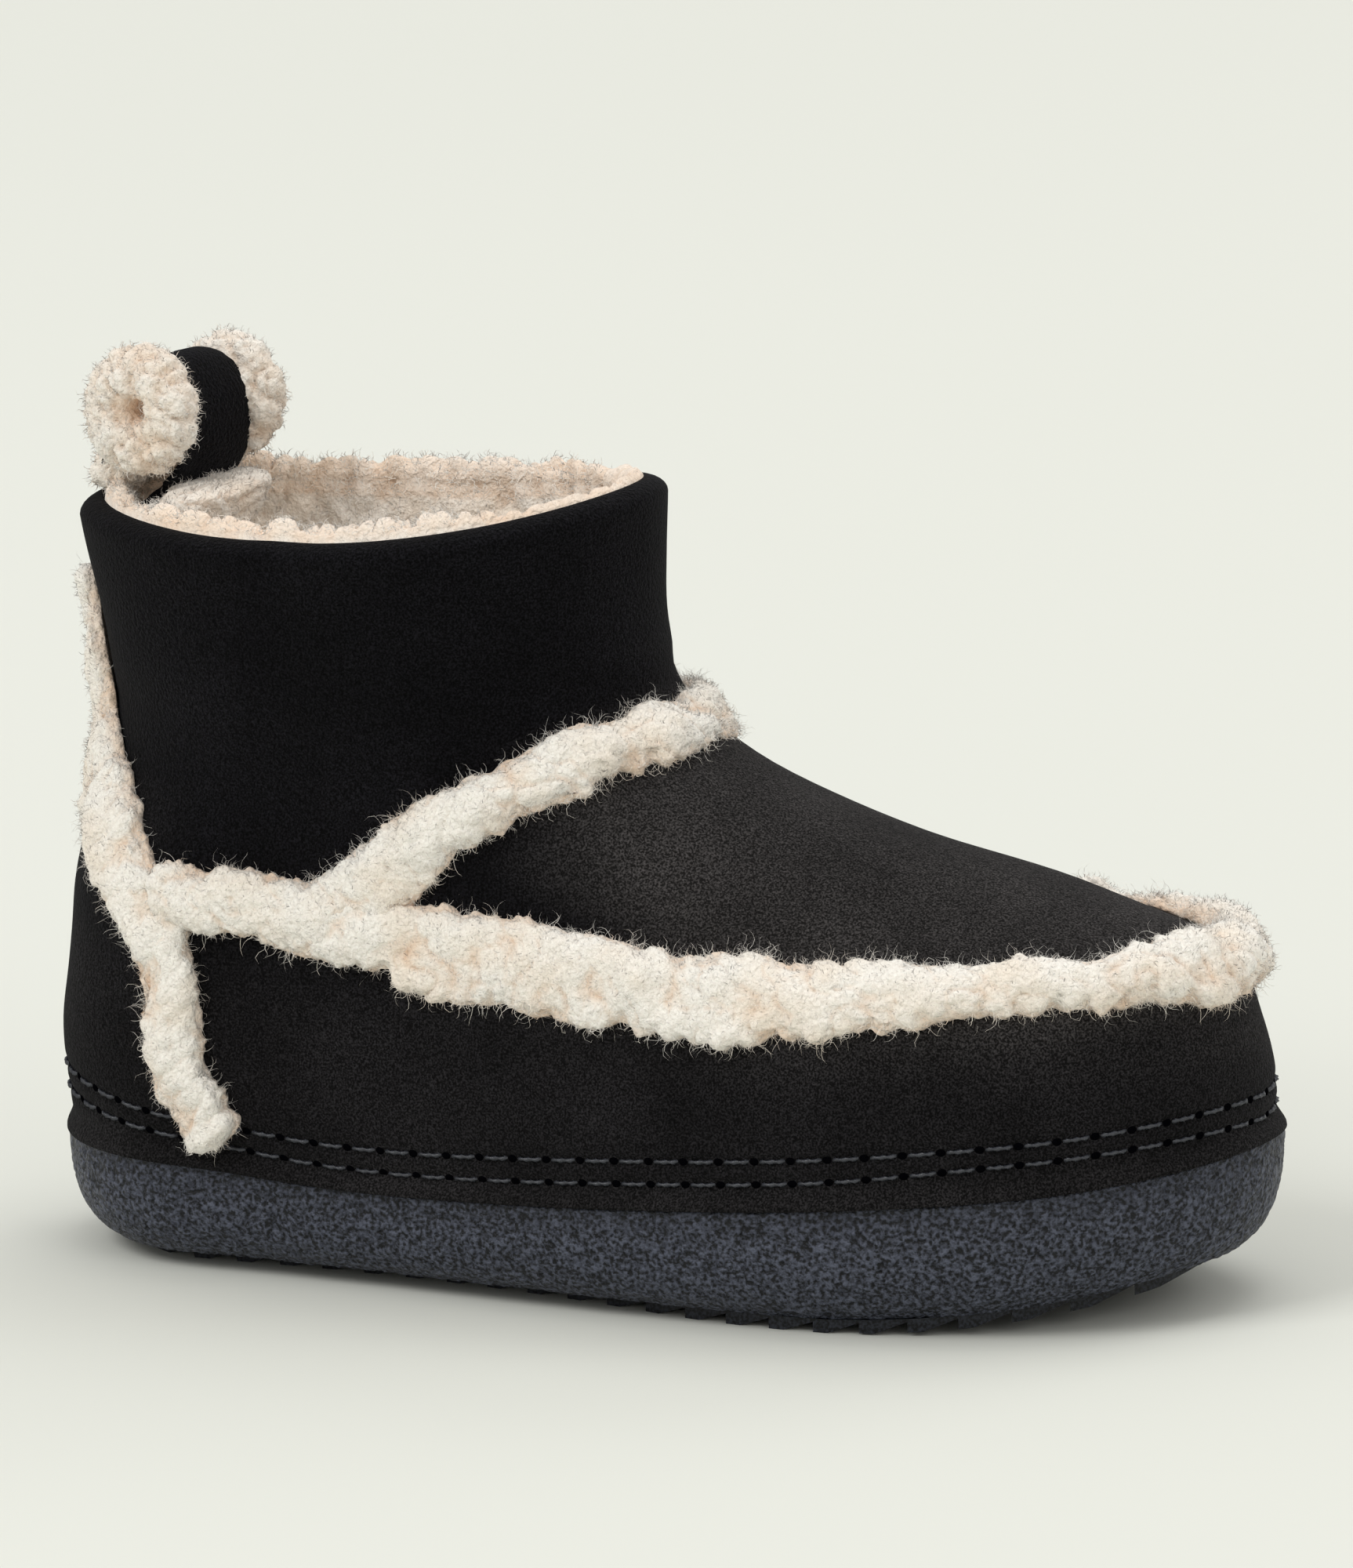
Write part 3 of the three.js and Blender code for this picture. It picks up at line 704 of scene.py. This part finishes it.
def wool_lining():
    """Sheepskin wool from inside the fold, over the edge of the suede and down to the footbed."""
    behind = [(z, -SKIN - TUCKED, 0.0) for z in np.linspace(27, COLLAR - 1, 30)]
    fold_in = [(COLLAR, *rolled(a, SKIN + TUCKED)) for a in np.radians([20, 60, 95])]
    over = [(COLLAR, *rolled(a, -TUCKED)) for a in np.radians(np.linspace(100, 175, 9))]
    inside = [(z, -WALL, 0.0) for z in [*np.linspace(165.5, 110, 34), *np.linspace(104, 27, 12)]]
    hidden = len(behind) + len(fold_in)
    grid, _, z = rings([*behind, *fold_in, *over, *inside], LINING_AROUND)
    out = normals(grid, True)
    tufts = puffs(11, 11)(grid)
    shown = np.zeros((len(grid), 1))
    shown[hidden + 1 :] = 1
    grid = grid + out * ((tufts - 0.45) * 3.0 * shown)[..., None]
    # Painted shade: the wool is darker in the creases between its tufts.
    painted_shading = np.clip(0.25 + tufts, 0, 1)
    rim = np.zeros((len(grid), 1))
    rim[hidden : hidden + RIM_ROWS] = 1
    crest = np.zeros((len(grid), 1))
    crest[hidden : hidden + RIM_ROWS, 0] = np.sin(np.linspace(0.5, np.pi, RIM_ROWS))
    fluffy = 1 - smoothstep(grid[..., 0], 104, 126)
    grid[..., 2] += RIM_FLUFF * (0.4 + tufts) * crest * fluffy
    painted_shading = painted_shading * (1 - rim) + rim * (0.1 + 0.4 * tufts)
    faces = [grid_faces(len(grid), LINING_AROUND, True)]
    add(piece("upper_lining", grid, faces, LINING, painted_shading), "wool")
    deep = shown * (z > 105) * (1 - rim)
    roots, way, cells = scatter(grid, normals(grid, True), deep, 2400, 12)
    shade = painted_shading.ravel()[cells]
    hairs = fibres("upper_lining_hairs", roots, way, "lining", 14, shade, LINING)
    add(hairs, "wool")
    roots, way, _ = scatter(grid, normals(grid, True), rim * fluffy, 3600, 15)
    fringe = fibres("collar_fringe", roots, way, "fringe", 17, look=LINING)
    add(fringe, "wool")


# ---------------------------------------------------------------- wool strips


def mirrored(rows):
    """The same rows on the other side of the boot, in the other order."""
    back = {name: values[::-1].copy() for name, values in rows.items()}
    back["round"] = 1 - back["round"]
    return back


def both_sides(rows):
    """The outer side's rows and their mirror image, joined at the toe."""
    back = mirrored(rows)
    return {name: np.concatenate([rows[name], back[name][1:]]) for name in rows}


# How far a strip's edges wander in long, middling and short swells, and how long its ends round off.
STRIP_EDGE = {"wander": 0.7, "scallop": 0.55, "ragged": 0.3, "end": 3.5}
TOE_RISE = {"start": 235, "end": 270}  # where the strip grows deeper round the toe
STRIP_GAP = 0.2  # between the suede and a strip's underside
TUFT = 0.8  # the part of the pile that is left to the tufts


def strip_places(rows, at):
    """A strip's place round the boot, its level and its width, at shares of its length."""
    even = {**rows, "at": np.linspace(0, 1, len(rows["z"]))}
    return [smooth(even, name, "at", at) for name in ("round", "z", "width")]


def strip_grid(rows, cells, seed):
    """A soft half-round strip on the surface, its edges wandering and its ends rounded off."""
    at = np.linspace(0, 1, cells + 1)[:, None] * (1 - 2e-3)
    around, z, width = strip_places(rows, at)
    ahead = strip_places(rows, at + 1e-3)
    along, up, out = runs(around, z)
    middle = on_surface(around, z)
    side = unit(np.cross(out, on_surface(ahead[0], ahead[1]) - middle))
    aa, au, uu = dot(along, along), dot(along, up), dot(up, up)
    size = aa * uu - au * au
    per_round = ((dot(side, along) * uu - dot(side, up) * au) / size)[..., 0]
    per_level = ((dot(side, up) * aa - dot(side, along) * au) / size)[..., 0]
    run = np.concatenate([[0], np.cumsum(np.linalg.norm(np.diff(middle[:, 0], axis=0), axis=-1))])
    end = np.clip(np.minimum(run, run[-1] - run) / STRIP_EDGE["end"], 0, 1)
    taper = np.sqrt(1 - (1 - end) ** 2)[:, None]
    over = np.linspace(0, np.pi, 30)
    below = np.linspace(np.pi, 2 * np.pi, 7)[1:-1]
    angle = np.concatenate([over, below])[None, :]
    wander = np.where(np.cos(angle) > 0, waves(seed, 17)(middle), waves(seed + 1, 17)(middle))
    scallop = np.where(np.cos(angle) > 0, waves(seed + 2, 7)(middle), waves(seed + 3, 7)(middle))
    ragged = waves(seed + 4, 3)(middle + 40 * np.cos(angle)[..., None])
    half = width / 2 - STRIP_TUCK + STRIP_EDGE["wander"] * wander
    half = half + STRIP_EDGE["scallop"] * scallop + STRIP_EDGE["ragged"] * ragged
    across = np.cos(angle) * (half * taper)
    toe = TOE_PILE * smoothstep(middle[..., 0], TOE_RISE["start"], TOE_RISE["end"])
    high = STRIP_GAP + (PILE - TUFT + toe) * taper * np.maximum(np.sin(angle), 0) ** 0.75
    return offset(around + per_round * across, z + per_level * across, high), angle


def wool_strip(name, rows, cells, seed, hairs, strays):
    """One wool strip: its tufted body, a short fuzz all over and longer hairs at its edges."""
    grid, angle = strip_grid(rows, cells, seed)
    out = normals(grid, False)
    top = np.clip(np.sin(angle), 0, 1)
    broad, fine = waves(seed + 5, 14)(grid), puffs(seed + 7, 10)(grid)
    swell = broad * 0.6 + (fine - 0.55) * 1.2 + waves(seed + 8, 3)(grid) * 0.16
    grid = grid + out * (swell * smoothstep(top, 0.0, 0.5))[..., None]
    # Painted shade: darker in the creases between the tufts and down the strip's sides and underside.
    pile_shade = np.clip(0.3 + 0.16 * broad + 0.7 * fine, 0, 1)
    pile_shade = pile_shade * (0.45 + 0.55 * smoothstep(top, 0.1, 0.7))
    faces = [grid_faces(len(grid), grid.shape[1], False)]
    add(weld(piece(name + "_wool", grid, faces, WOOL, pile_shade)), "wool", name)
    out = normals(grid, False)
    roots, way, cells_hit = scatter(grid, out, top > 0.05, hairs, seed + 9)
    # The fuzz takes the strip's painted shade, a little lighter.
    shade = np.clip(pile_shade.ravel()[cells_hit] + 0.15, 0, 1)
    fuzz = fibres(name + "_fuzz", roots, way, "fuzz", seed + 11, shade)
    add(fuzz, "wool")
    edge = (top > 0.02) & (top < 0.55)
    roots, way, _ = scatter(grid, out, edge, strays, seed + 12)
    stray = fibres(name + "_strays", roots, way, "stray", seed + 14)
    add(stray, "wool")


def trims():
    """The four wool strips: a longer one has more cells along it and more hairs."""
    side, instep, inner = both_sides(SIDE_STRIP), both_sides(INSTEP_STRIP), mirrored(HEEL_STRIP)
    wool_strip("trim_side", side, cells=760, seed=100, hairs=10500, strays=1800)
    wool_strip("trim_instep", instep, cells=380, seed=200, hairs=5200, strays=900)
    wool_strip("trim_heel_outer", HEEL_STRIP, cells=190, seed=300, hairs=2600, strays=430)
    wool_strip("trim_heel_inner", inner, cells=190, seed=400, hairs=2600, strays=430)


# ---------------------------------------------------------------- pull loop

# Half of the roll from the bottom of its hole to its middle: distance from the axis, and along it.
ROLL_PROFILE = table(
    "at radius along",
    (0, 0.0, 13),
    (1, 1.6, 13.4),
    (2, 2.4, 17),
    (3, 4.2, 20.6),
    (4, 8, 21.6),
    (5, 11.6, 20.2),
    (6, 13.6, 16.5),
    (7, 11.6, 13.8),
    (8, 8, 12),
    (9, 6.5, 7),
    (10, 6.5, 0),
)
# The strap's middle line from inside the collar, up the front of the roll, over it and down behind.
STRAP_PATH = table(
    "at x z",
    (0, 25.5, 163),
    (1, 33, 168.5),
    (2, 37.6, 175),
    (3, 39.4, 182.5),
    (4, 38.6, 190.5),
    (5, 34.4, 196.4),
    (6, 28.4, 197.6),
    (7, 22.6, 193.8),
    (8, 20.2, 186.5),
    (9, 18.6, 178.5),
    (10, 15.2, 171.4),
)
STRAP = {"width": 25.0, "thick": 1.5}
# The tufts of wool behind the roll and at the foot of the strap.
TAIL = {"width": 26, "base": 168.5, "top": 182, "back": 9.5, "front": 22.5, "aside": 0, "seed": 521}
ROOT = {"width": 36, "base": 159, "top": 171, "back": 27, "front": 43, "aside": -3.5, "seed": 551}


def turned(points):
    """Points round the roll's own middle, turned and moved to their place on the boot."""
    yaw = Matrix.Rotation(np.radians(LOOP_TURN["yaw"]), 3, "Z")
    dip = Matrix.Rotation(np.radians(LOOP_TURN["dip"]), 3, "X")
    return points @ np.array(yaw @ dip).T + [LOOP["x"], 0, LOOP["z"]]


def roll_wool():
    """The wool roll of the pull loop, with a dimple at each end."""
    at = np.linspace(0, 10, 54)
    radius, along = (smooth(ROLL_PROFILE, name, "at", at) for name in ("radius", "along"))
    radius = np.concatenate([radius, radius[-2::-1]])
    along = np.concatenate([-along, along[-2::-1]])
    angle = np.linspace(0, 2 * np.pi, 108, endpoint=False)
    sideways, high = radius[:, None] * np.cos(angle), radius[:, None] * np.sin(angle)
    grid = np.stack([sideways, along[:, None] + 0 * angle, high], -1)
    grid = turned(grid[:, ::-1])
    out = normals(grid, False)
    broad, fine = puffs(501, 8)(grid), puffs(503, 4)(grid)
    open_end = smoothstep(radius, 1, 6)[:, None]
    grid = grid + out * (((broad - 0.55) * 2.6 + (fine - 0.5) * 1.2) * open_end)[..., None]
    # Painted shade: darker in the creases between tufts and deep in the dimple at each end.
    painted_shading = np.clip(0.45 * broad + 0.35 * fine, 0, 1) * (0.1 + 0.9 * open_end)
    body = weld(piece("pull_loop_wool", grid, [grid_faces(len(grid), 108, False)], WOOL, painted_shading))
    add(body, "wool", "pull_loop")
    chance = (open_end > 0.3) * (np.abs(along)[:, None] > 11.5) + 0 * broad
    roots, way, cells = scatter(grid, normals(grid, False), chance, 3000, 505)
    shade = np.clip(painted_shading.ravel()[cells] + 0.1, 0, 1)
    hairs = fibres("pull_loop_hairs", roots, way, "roll", 507, shade)
    add(hairs, "wool")


def loop_tuft(name, size):
    """A flat puff of wool that stands up from the collar, leaning to the front."""
    angle = np.linspace(0, 2 * np.pi, 72, endpoint=False)[None, :]
    share = np.linspace(0, 1, 20)[:, None]
    middle = (size["back"] + size["front"]) / 2 + 5 * share
    deep, wide = (size["front"] - size["back"]) / 2, size["width"] / 2
    round_off = np.sqrt(np.clip(1 - (2 * share - 1) ** 8, 0, 1))
    x = middle + deep * round_off * np.cos(angle)
    y = size["aside"] + wide * round_off * np.sign(np.sin(angle)) * np.abs(np.sin(angle)) ** 0.6
    z = size["base"] + (size["top"] - size["base"]) * share + 0 * angle
    grid = np.stack([x, y, z], -1)
    out = normals(grid, False)
    tufts = puffs(size["seed"], 6)(grid)
    grid = grid + out * ((tufts - 0.5) * 2.0)[..., None] * round_off[..., None]
    # Painted shade: darker in the creases between its tufts.
    painted_shading = np.clip(0.2 + 0.8 * tufts, 0, 1)
    body = weld(piece(name, grid, [grid_faces(len(grid), 72, False)], LINING, painted_shading))
    add(body, "wool")
    roots, way, cells = scatter(grid, normals(grid, False), 1 + 0 * tufts, 800, size["seed"] + 2)
    shade = painted_shading.ravel()[cells]
    hairs = fibres(name + "_hairs", roots, way, "tuft", size["seed"] + 4, shade, LINING)
    add(hairs, "wool")


def loop_strap():
    """A suede band with soft edges, wrapped round the roll."""
    at = np.linspace(0, 10, 90)[:, None]
    x, z = (smooth(STRAP_PATH, name, "at", at) for name in ("x", "z"))
    ahead = np.gradient(np.concatenate([x, z], 1), axis=0)
    face = unit(np.stack([ahead[:, 1], -ahead[:, 0]], -1))
    angle = np.linspace(0, 2 * np.pi, 48, endpoint=False)[None, :]
    across = np.sign(np.cos(angle)) * np.abs(np.cos(angle)) ** 0.35
    thick = np.sign(np.sin(angle)) * np.abs(np.sin(angle)) ** 0.7
    y = STRAP["width"] / 2 * across
    frayed = waves(541, 2.6)(np.stack(np.broadcast_arrays(x, 9 * np.sign(y), z), -1))
    y = y + 0.3 * frayed * np.abs(across) ** 4
    crown = -0.9 * (across**2) + 0.25 * waves(543, 14)(np.stack(np.broadcast_arrays(x, y, z), -1))
    depth = STRAP["thick"] / 2 * thick + crown
    grid = np.stack([x + face[:, :1] * depth, y, z + face[:, 1:] * depth], -1)
    slant = np.radians(LOOP_TURN["yaw"])
    grid[..., 0] += -grid[..., 1] * np.sin(slant)
    grid[..., 2] += grid[..., 1] * np.sin(np.radians(LOOP_TURN["dip"]))
    faces = [grid_faces(len(grid), 48, False), *end_caps(len(grid), 48)]
    add(piece("pull_loop_strap", grid, faces, SUEDE), "suede")


def end_caps(rows, columns):
    """The two flat ends of a tube of rings."""
    first = np.arange(columns)[::-1][None, :]
    last = (rows - 1) * columns + np.arange(columns)[None, :]
    return [first, last]


# ---------------------------------------------------------------- footbed, sole and tread


def lidded(rim, cells, facing_up):
    """Rings that shrink from a rim to the foot's middle line, for a lid that follows its curve."""
    columns = rim.shape[0]
    far = rim[(columns - np.arange(columns)) % columns]
    share = np.linspace(0, 1, cells + 1)[1:, None, None]
    rows = rim * (1 - share) + (rim + far) / 2 * share
    return rows if facing_up else rows[::-1]


def footbed():
    """The sheepskin footbed, a flat pad on the floor of the upper."""
    columns = 240
    out = -(WALL + FOOTBED["clearance"])
    around = np.linspace(0, 1, columns, endpoint=False)
    high = FOOTBED["thick"]
    edge = [(0.3, out), (high * 0.55, out), (high * 0.85, out - 0.8), (high, out - 2.6)]
    wall = np.array([offset(around, SOLE_TOP, np.full(columns, o), up) for up, o in edge])
    top = lidded(wall[-1], 16, True)
    grid = np.concatenate([lidded(wall[0], 5, False), wall, top])
    shown = np.zeros((len(grid), 1))
    shown[8:] = 1
    tufts = puffs(601, 9)(grid)
    grid[..., 2] += (tufts - 0.6) * 1.8 * shown
    faces = [grid_faces(len(grid), columns, False)]
    # Painted shade: the wool is darker in the creases between its tufts.
    made = weld(piece("insole_wool", grid, faces, WOOL, np.clip(0.1 + 0.8 * tufts, 0, 1)))
    add(made, "wool", "insole")


# The sole's pebbled side: points along it and up it, rings of its lids, and the pebbles' size and height.
PEBBLES = {"columns": 1000, "levels": 50, "lid": 3, "size": 3.4, "high": 0.55}


def under(x):
    """Height of the tread's underside at x."""
    return np.maximum(smooth(SOLE_LINE, "under", "x", x), 0)


def sole_wall(share, columns):
    """A ring of the thick sole at a share of its height, from the tread to the seam."""
    around = np.linspace(0, 1, columns, endpoint=False)
    ring = offset(around, SOLE_TOP, np.full(columns, smooth(SOLE_SIDE, "out", "share", share)))
    low = under(ring[:, 0]) + TREAD_THICK + GAP
    high = smooth(SOLE_LINE, "top", "x", ring[:, 0])
    ring[:, 2] = low + (high - low) * share
    return ring


def thick_sole():
    """The thick rubber sole, closed above and below, with pebbles on its side."""
    columns, levels, lid = PEBBLES["columns"], PEBBLES["levels"], PEBBLES["lid"]
    wall = np.array([sole_wall(share, columns) for share in np.linspace(0, 1, levels) ** 1.2])
    grid = np.concatenate([lidded(wall[0], lid, False), wall, lidded(wall[-1], lid, True)])
    out = normals(grid, False)
    face = np.zeros((len(grid), 1))
    face[lid : lid + levels - 1] = 1
    pebble = puffs(611, PEBBLES["size"])(grid)
    cast = (pebble - 0.6) * PEBBLES["high"] + waves(613, 30)(grid) * 0.12
    grid = grid + out * (cast * face)[..., None]
    faces = [grid_faces(len(grid), columns, False)]
    # Darker towards the top of the wall.
    darker_toward_top = 1 - 0.3 * smoothstep(np.linspace(0, 1, len(grid)), 0.6, 0.95)[:, None]
    # Painted shade: darker in the pits between the pebbles.
    made = weld(piece("midsole_rubber", grid, faces, RUBBER, (0.35 + 0.65 * pebble) * darker_toward_top))
    add(made, "sole_rubber", "midsole")


def tread():
    """The CAD tread stays: its edges are eased and it gets its own rubber."""
    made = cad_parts["outsole"]
    made.data.materials.clear()
    made.data.materials.append(TREAD)
    ease = made.modifiers.new("eased_edges", "BEVEL")
    ease.width = 0.25 * METRES
    ease.segments = 2
    ease.limit_method = "ANGLE"


# ---------------------------------------------------------------- stitches


def row_places(path):
    """Stitch middles along a row, evenly spaced, on both sides of the boot."""
    around = np.linspace(0, 1, 2001)
    line = on_surface(around, row_level(path, around))
    run = np.concatenate([[0], np.cumsum(np.linalg.norm(np.diff(line, axis=0), axis=-1))])
    count = int(run[-1] / STITCH["pitch"])
    middles = (np.arange(count) + 0.5) * run[-1] / count
    return lambda along: np.interp((middles + along) % run[-1], run, around)


def row_points(path, place, out):
    """Points that stand out from the suede along a row of stitches."""
    z = row_level(path, place)
    return offset(place, z, lip(z) + suede_relief(place, z) + out)


def thread_row(name, path):
    """Twisted thread: flattened tubes that turn as they run, dipping into the suede at each end."""
    place = row_places(path)
    shares = np.linspace(-0.5, 0.5, 13)
    line = np.stack([row_points(path, place(s * STITCH["long"]), rise(s)) for s in shares], 1)
    ahead = unit(np.gradient(line, axis=1))
    out = runs(place(0), row_level(path, place(0)))[2][:, None]
    side = unit(np.cross(out, ahead))
    corner = np.arange(6) * np.pi / 3
    twist = shares[:, None] * 9 + corner[None]
    radius = STITCH["thread"] * (1 + 0.28 * np.cos(2 * corner))
    radius = radius[None] * np.sqrt(np.clip(1 - (2 * shares[:, None]) ** 6, 0.02, 1))
    ring = np.cross(ahead, side)[:, :, None] * np.sin(twist)[None, ..., None]
    ring = ring + side[:, :, None] * np.cos(twist)[None, ..., None]
    points = line[:, :, None] + ring * radius[None, ..., None]
    count = len(points)
    first = (np.arange(count) * len(shares) * 6)[:, None, None]
    walls = first + grid_faces(len(shares), 6, False)[None]
    caps = [(first + cap[None]).reshape(-1, 6) for cap in end_caps(len(shares), 6)]
    return add(piece(name, points, [walls.reshape(-1, 4), *caps], THREAD), "suede")


def rise(share):
    """How far a stitch stands out of the suede: it dives at both ends."""
    return 0.38 - 1.1 * np.abs(2 * share) ** 5


def hole_row(name, path):
    """Needle holes between the stitches, as small sunk lenses in near-black, which is painted shade."""
    place = row_places(path)
    half = STITCH["pitch"] / 2
    middle = place(half)
    centre = row_points(path, middle, 0.12)
    along, up, out = (v[:, None] for v in runs(middle, row_level(path, middle)))
    angle = np.linspace(0, 2 * np.pi, 12, endpoint=False)
    size = np.array([0.25, 0.75, 1.0])[:, None] * STITCH["hole"]
    high = np.array([0.12, 0.07, -0.5])[:, None]
    flat = unit(along)[:, :, None] * (np.cos(angle) * size)[None, ..., None]
    flat = flat + unit(up)[:, :, None] * (np.sin(angle) * size * 0.85)[None, ..., None]
    points = centre[:, None, None] + flat + out[:, :, None] * (high + 0 * angle)[None, ..., None]
    first = (np.arange(len(points)) * 36)[:, None, None]
    walls = first + grid_faces(3, 12, False)[None][..., ::-1]
    caps = [(first + cap[None][..., ::-1]).reshape(-1, 12) for cap in end_caps(3, 12)]
    return add(piece(name, points, [walls.reshape(-1, 4), *caps], HOLE_SHADE), "suede")


def stitches():
    """Both rows, each with its thread and its holes."""
    for name, path in (("upper", UPPER_ROW), ("lower", LOWER_ROW)):
        thread_row(name + "_row_thread", path)
        hole_row(name + "_row_holes", path)


# ---------------------------------------------------------------- stage, lights and camera

CAMERA = {"round": 24.0, "above": 12.2, "roll": -1.45, "distance": 3000.0, "seen": 341.9}
AIM = {"at": (140.0, 0.0, 85.0), "right": 5.13, "up": 22.56}
FLOOR = (0.725, 0.734, 0.676)
ROOM = {"colour": (1.0, 0.995, 0.98, 1), "strength": 0.66}
# The soft boxes' places and sizes in metres, and their power in watts.
SOFT_BOXES = (
    ("key", (-3.0, -4.5, 5.6), 3.6, 205),
    ("top", (0.8, 1.5, 7.0), 4.0, 116),
    ("side", (5.5, -3.0, 3.2), 3.0, 38),
    ("behind", (2.6, 5.2, 3.6), 3.0, 45),
)


def floor():
    """A plain pale floor that runs out of sight."""
    material, shader, place = new_material("pale_floor", 1.0)
    shader.inputs["Specular IOR Level"].default_value = 0.0
    wash = mottle(material, place, 900, 2, (0.3, FLOOR), (0.7, [c * 1.01 for c in FLOOR]))
    wire(material, shader, wash, bump(material, noise(material, place, 2), 0.01))
    bpy.ops.mesh.primitive_plane_add(size=40)
    plane = bpy.context.object
    plane.name = "floor"
    plane.data.materials.append(material)


def soft_light(name, place, size, power):
    """A square soft box that faces the boot."""
    data = bpy.data.lights.new(name, "AREA")
    data.size = size
    data.energy = power
    light = bpy.data.objects.new(name, data)
    bpy.context.scene.collection.objects.link(light)
    back = unit(np.array(place, float) - np.array([0, 0, 0.08]))
    light.matrix_world = Matrix.Translation(place) @ turn_to(back)


def turn_to(back):
    """A rotation whose own +Z points along back, with +X level."""
    right = unit(np.cross([0, 0, 1], back))
    columns = np.stack([right, np.cross(back, right), back], 1)
    return Matrix(columns.tolist()).to_4x4()


def lights():
    """Plain soft studio light: a pale room and four soft boxes."""
    world = bpy.data.worlds.new("studio")
    world.use_nodes = True
    room = world.node_tree.nodes["Background"]
    room.inputs["Color"].default_value = ROOM["colour"]
    room.inputs["Strength"].default_value = ROOM["strength"]
    bpy.context.scene.world = world
    for name, place, size, power in SOFT_BOXES:
        soft_light(name, place, size, power)


def camera():
    """The camera, at its angle to the outer side, rolled a little."""
    swung, raised = np.radians(CAMERA["round"]), np.radians(CAMERA["above"])
    rolled_by = np.radians(CAMERA["roll"])
    back = np.array([np.sin(swung) * np.cos(raised), -np.cos(swung) * np.cos(raised), np.sin(raised)])
    level_right = np.array([np.cos(swung), np.sin(swung), 0])
    level_up = np.cross(back, level_right)
    right = level_right * np.cos(rolled_by) + level_up * np.sin(rolled_by)
    up = level_up * np.cos(rolled_by) - level_right * np.sin(rolled_by)
    aim = np.array(AIM["at"]) + AIM["right"] * right + AIM["up"] * up
    place = (aim + back * CAMERA["distance"] - ORIGIN) * METRES
    data = bpy.data.cameras.new("camera")
    data.sensor_width = 36
    data.lens = data.sensor_width * CAMERA["distance"] / CAMERA["seen"]
    data.clip_end = 100
    made = bpy.data.objects.new("camera", data)
    bpy.context.scene.collection.objects.link(made)
    turn = Matrix(np.stack([right, up, back], 1).tolist()).to_4x4()
    made.matrix_world = Matrix.Translation(place) @ turn
    bpy.context.scene.camera = made
    bpy.context.scene.view_settings.view_transform = "Standard"


# ---------------------------------------------------------------- assembly

suede_skin()
wool_lining()
trims()
roll_wool()
loop_tuft("pull_loop_tail", TAIL)
loop_tuft("pull_loop_root", ROOT)
loop_strap()
footbed()
thick_sole()
tread()
stitches()
floor()
lights()
camera()
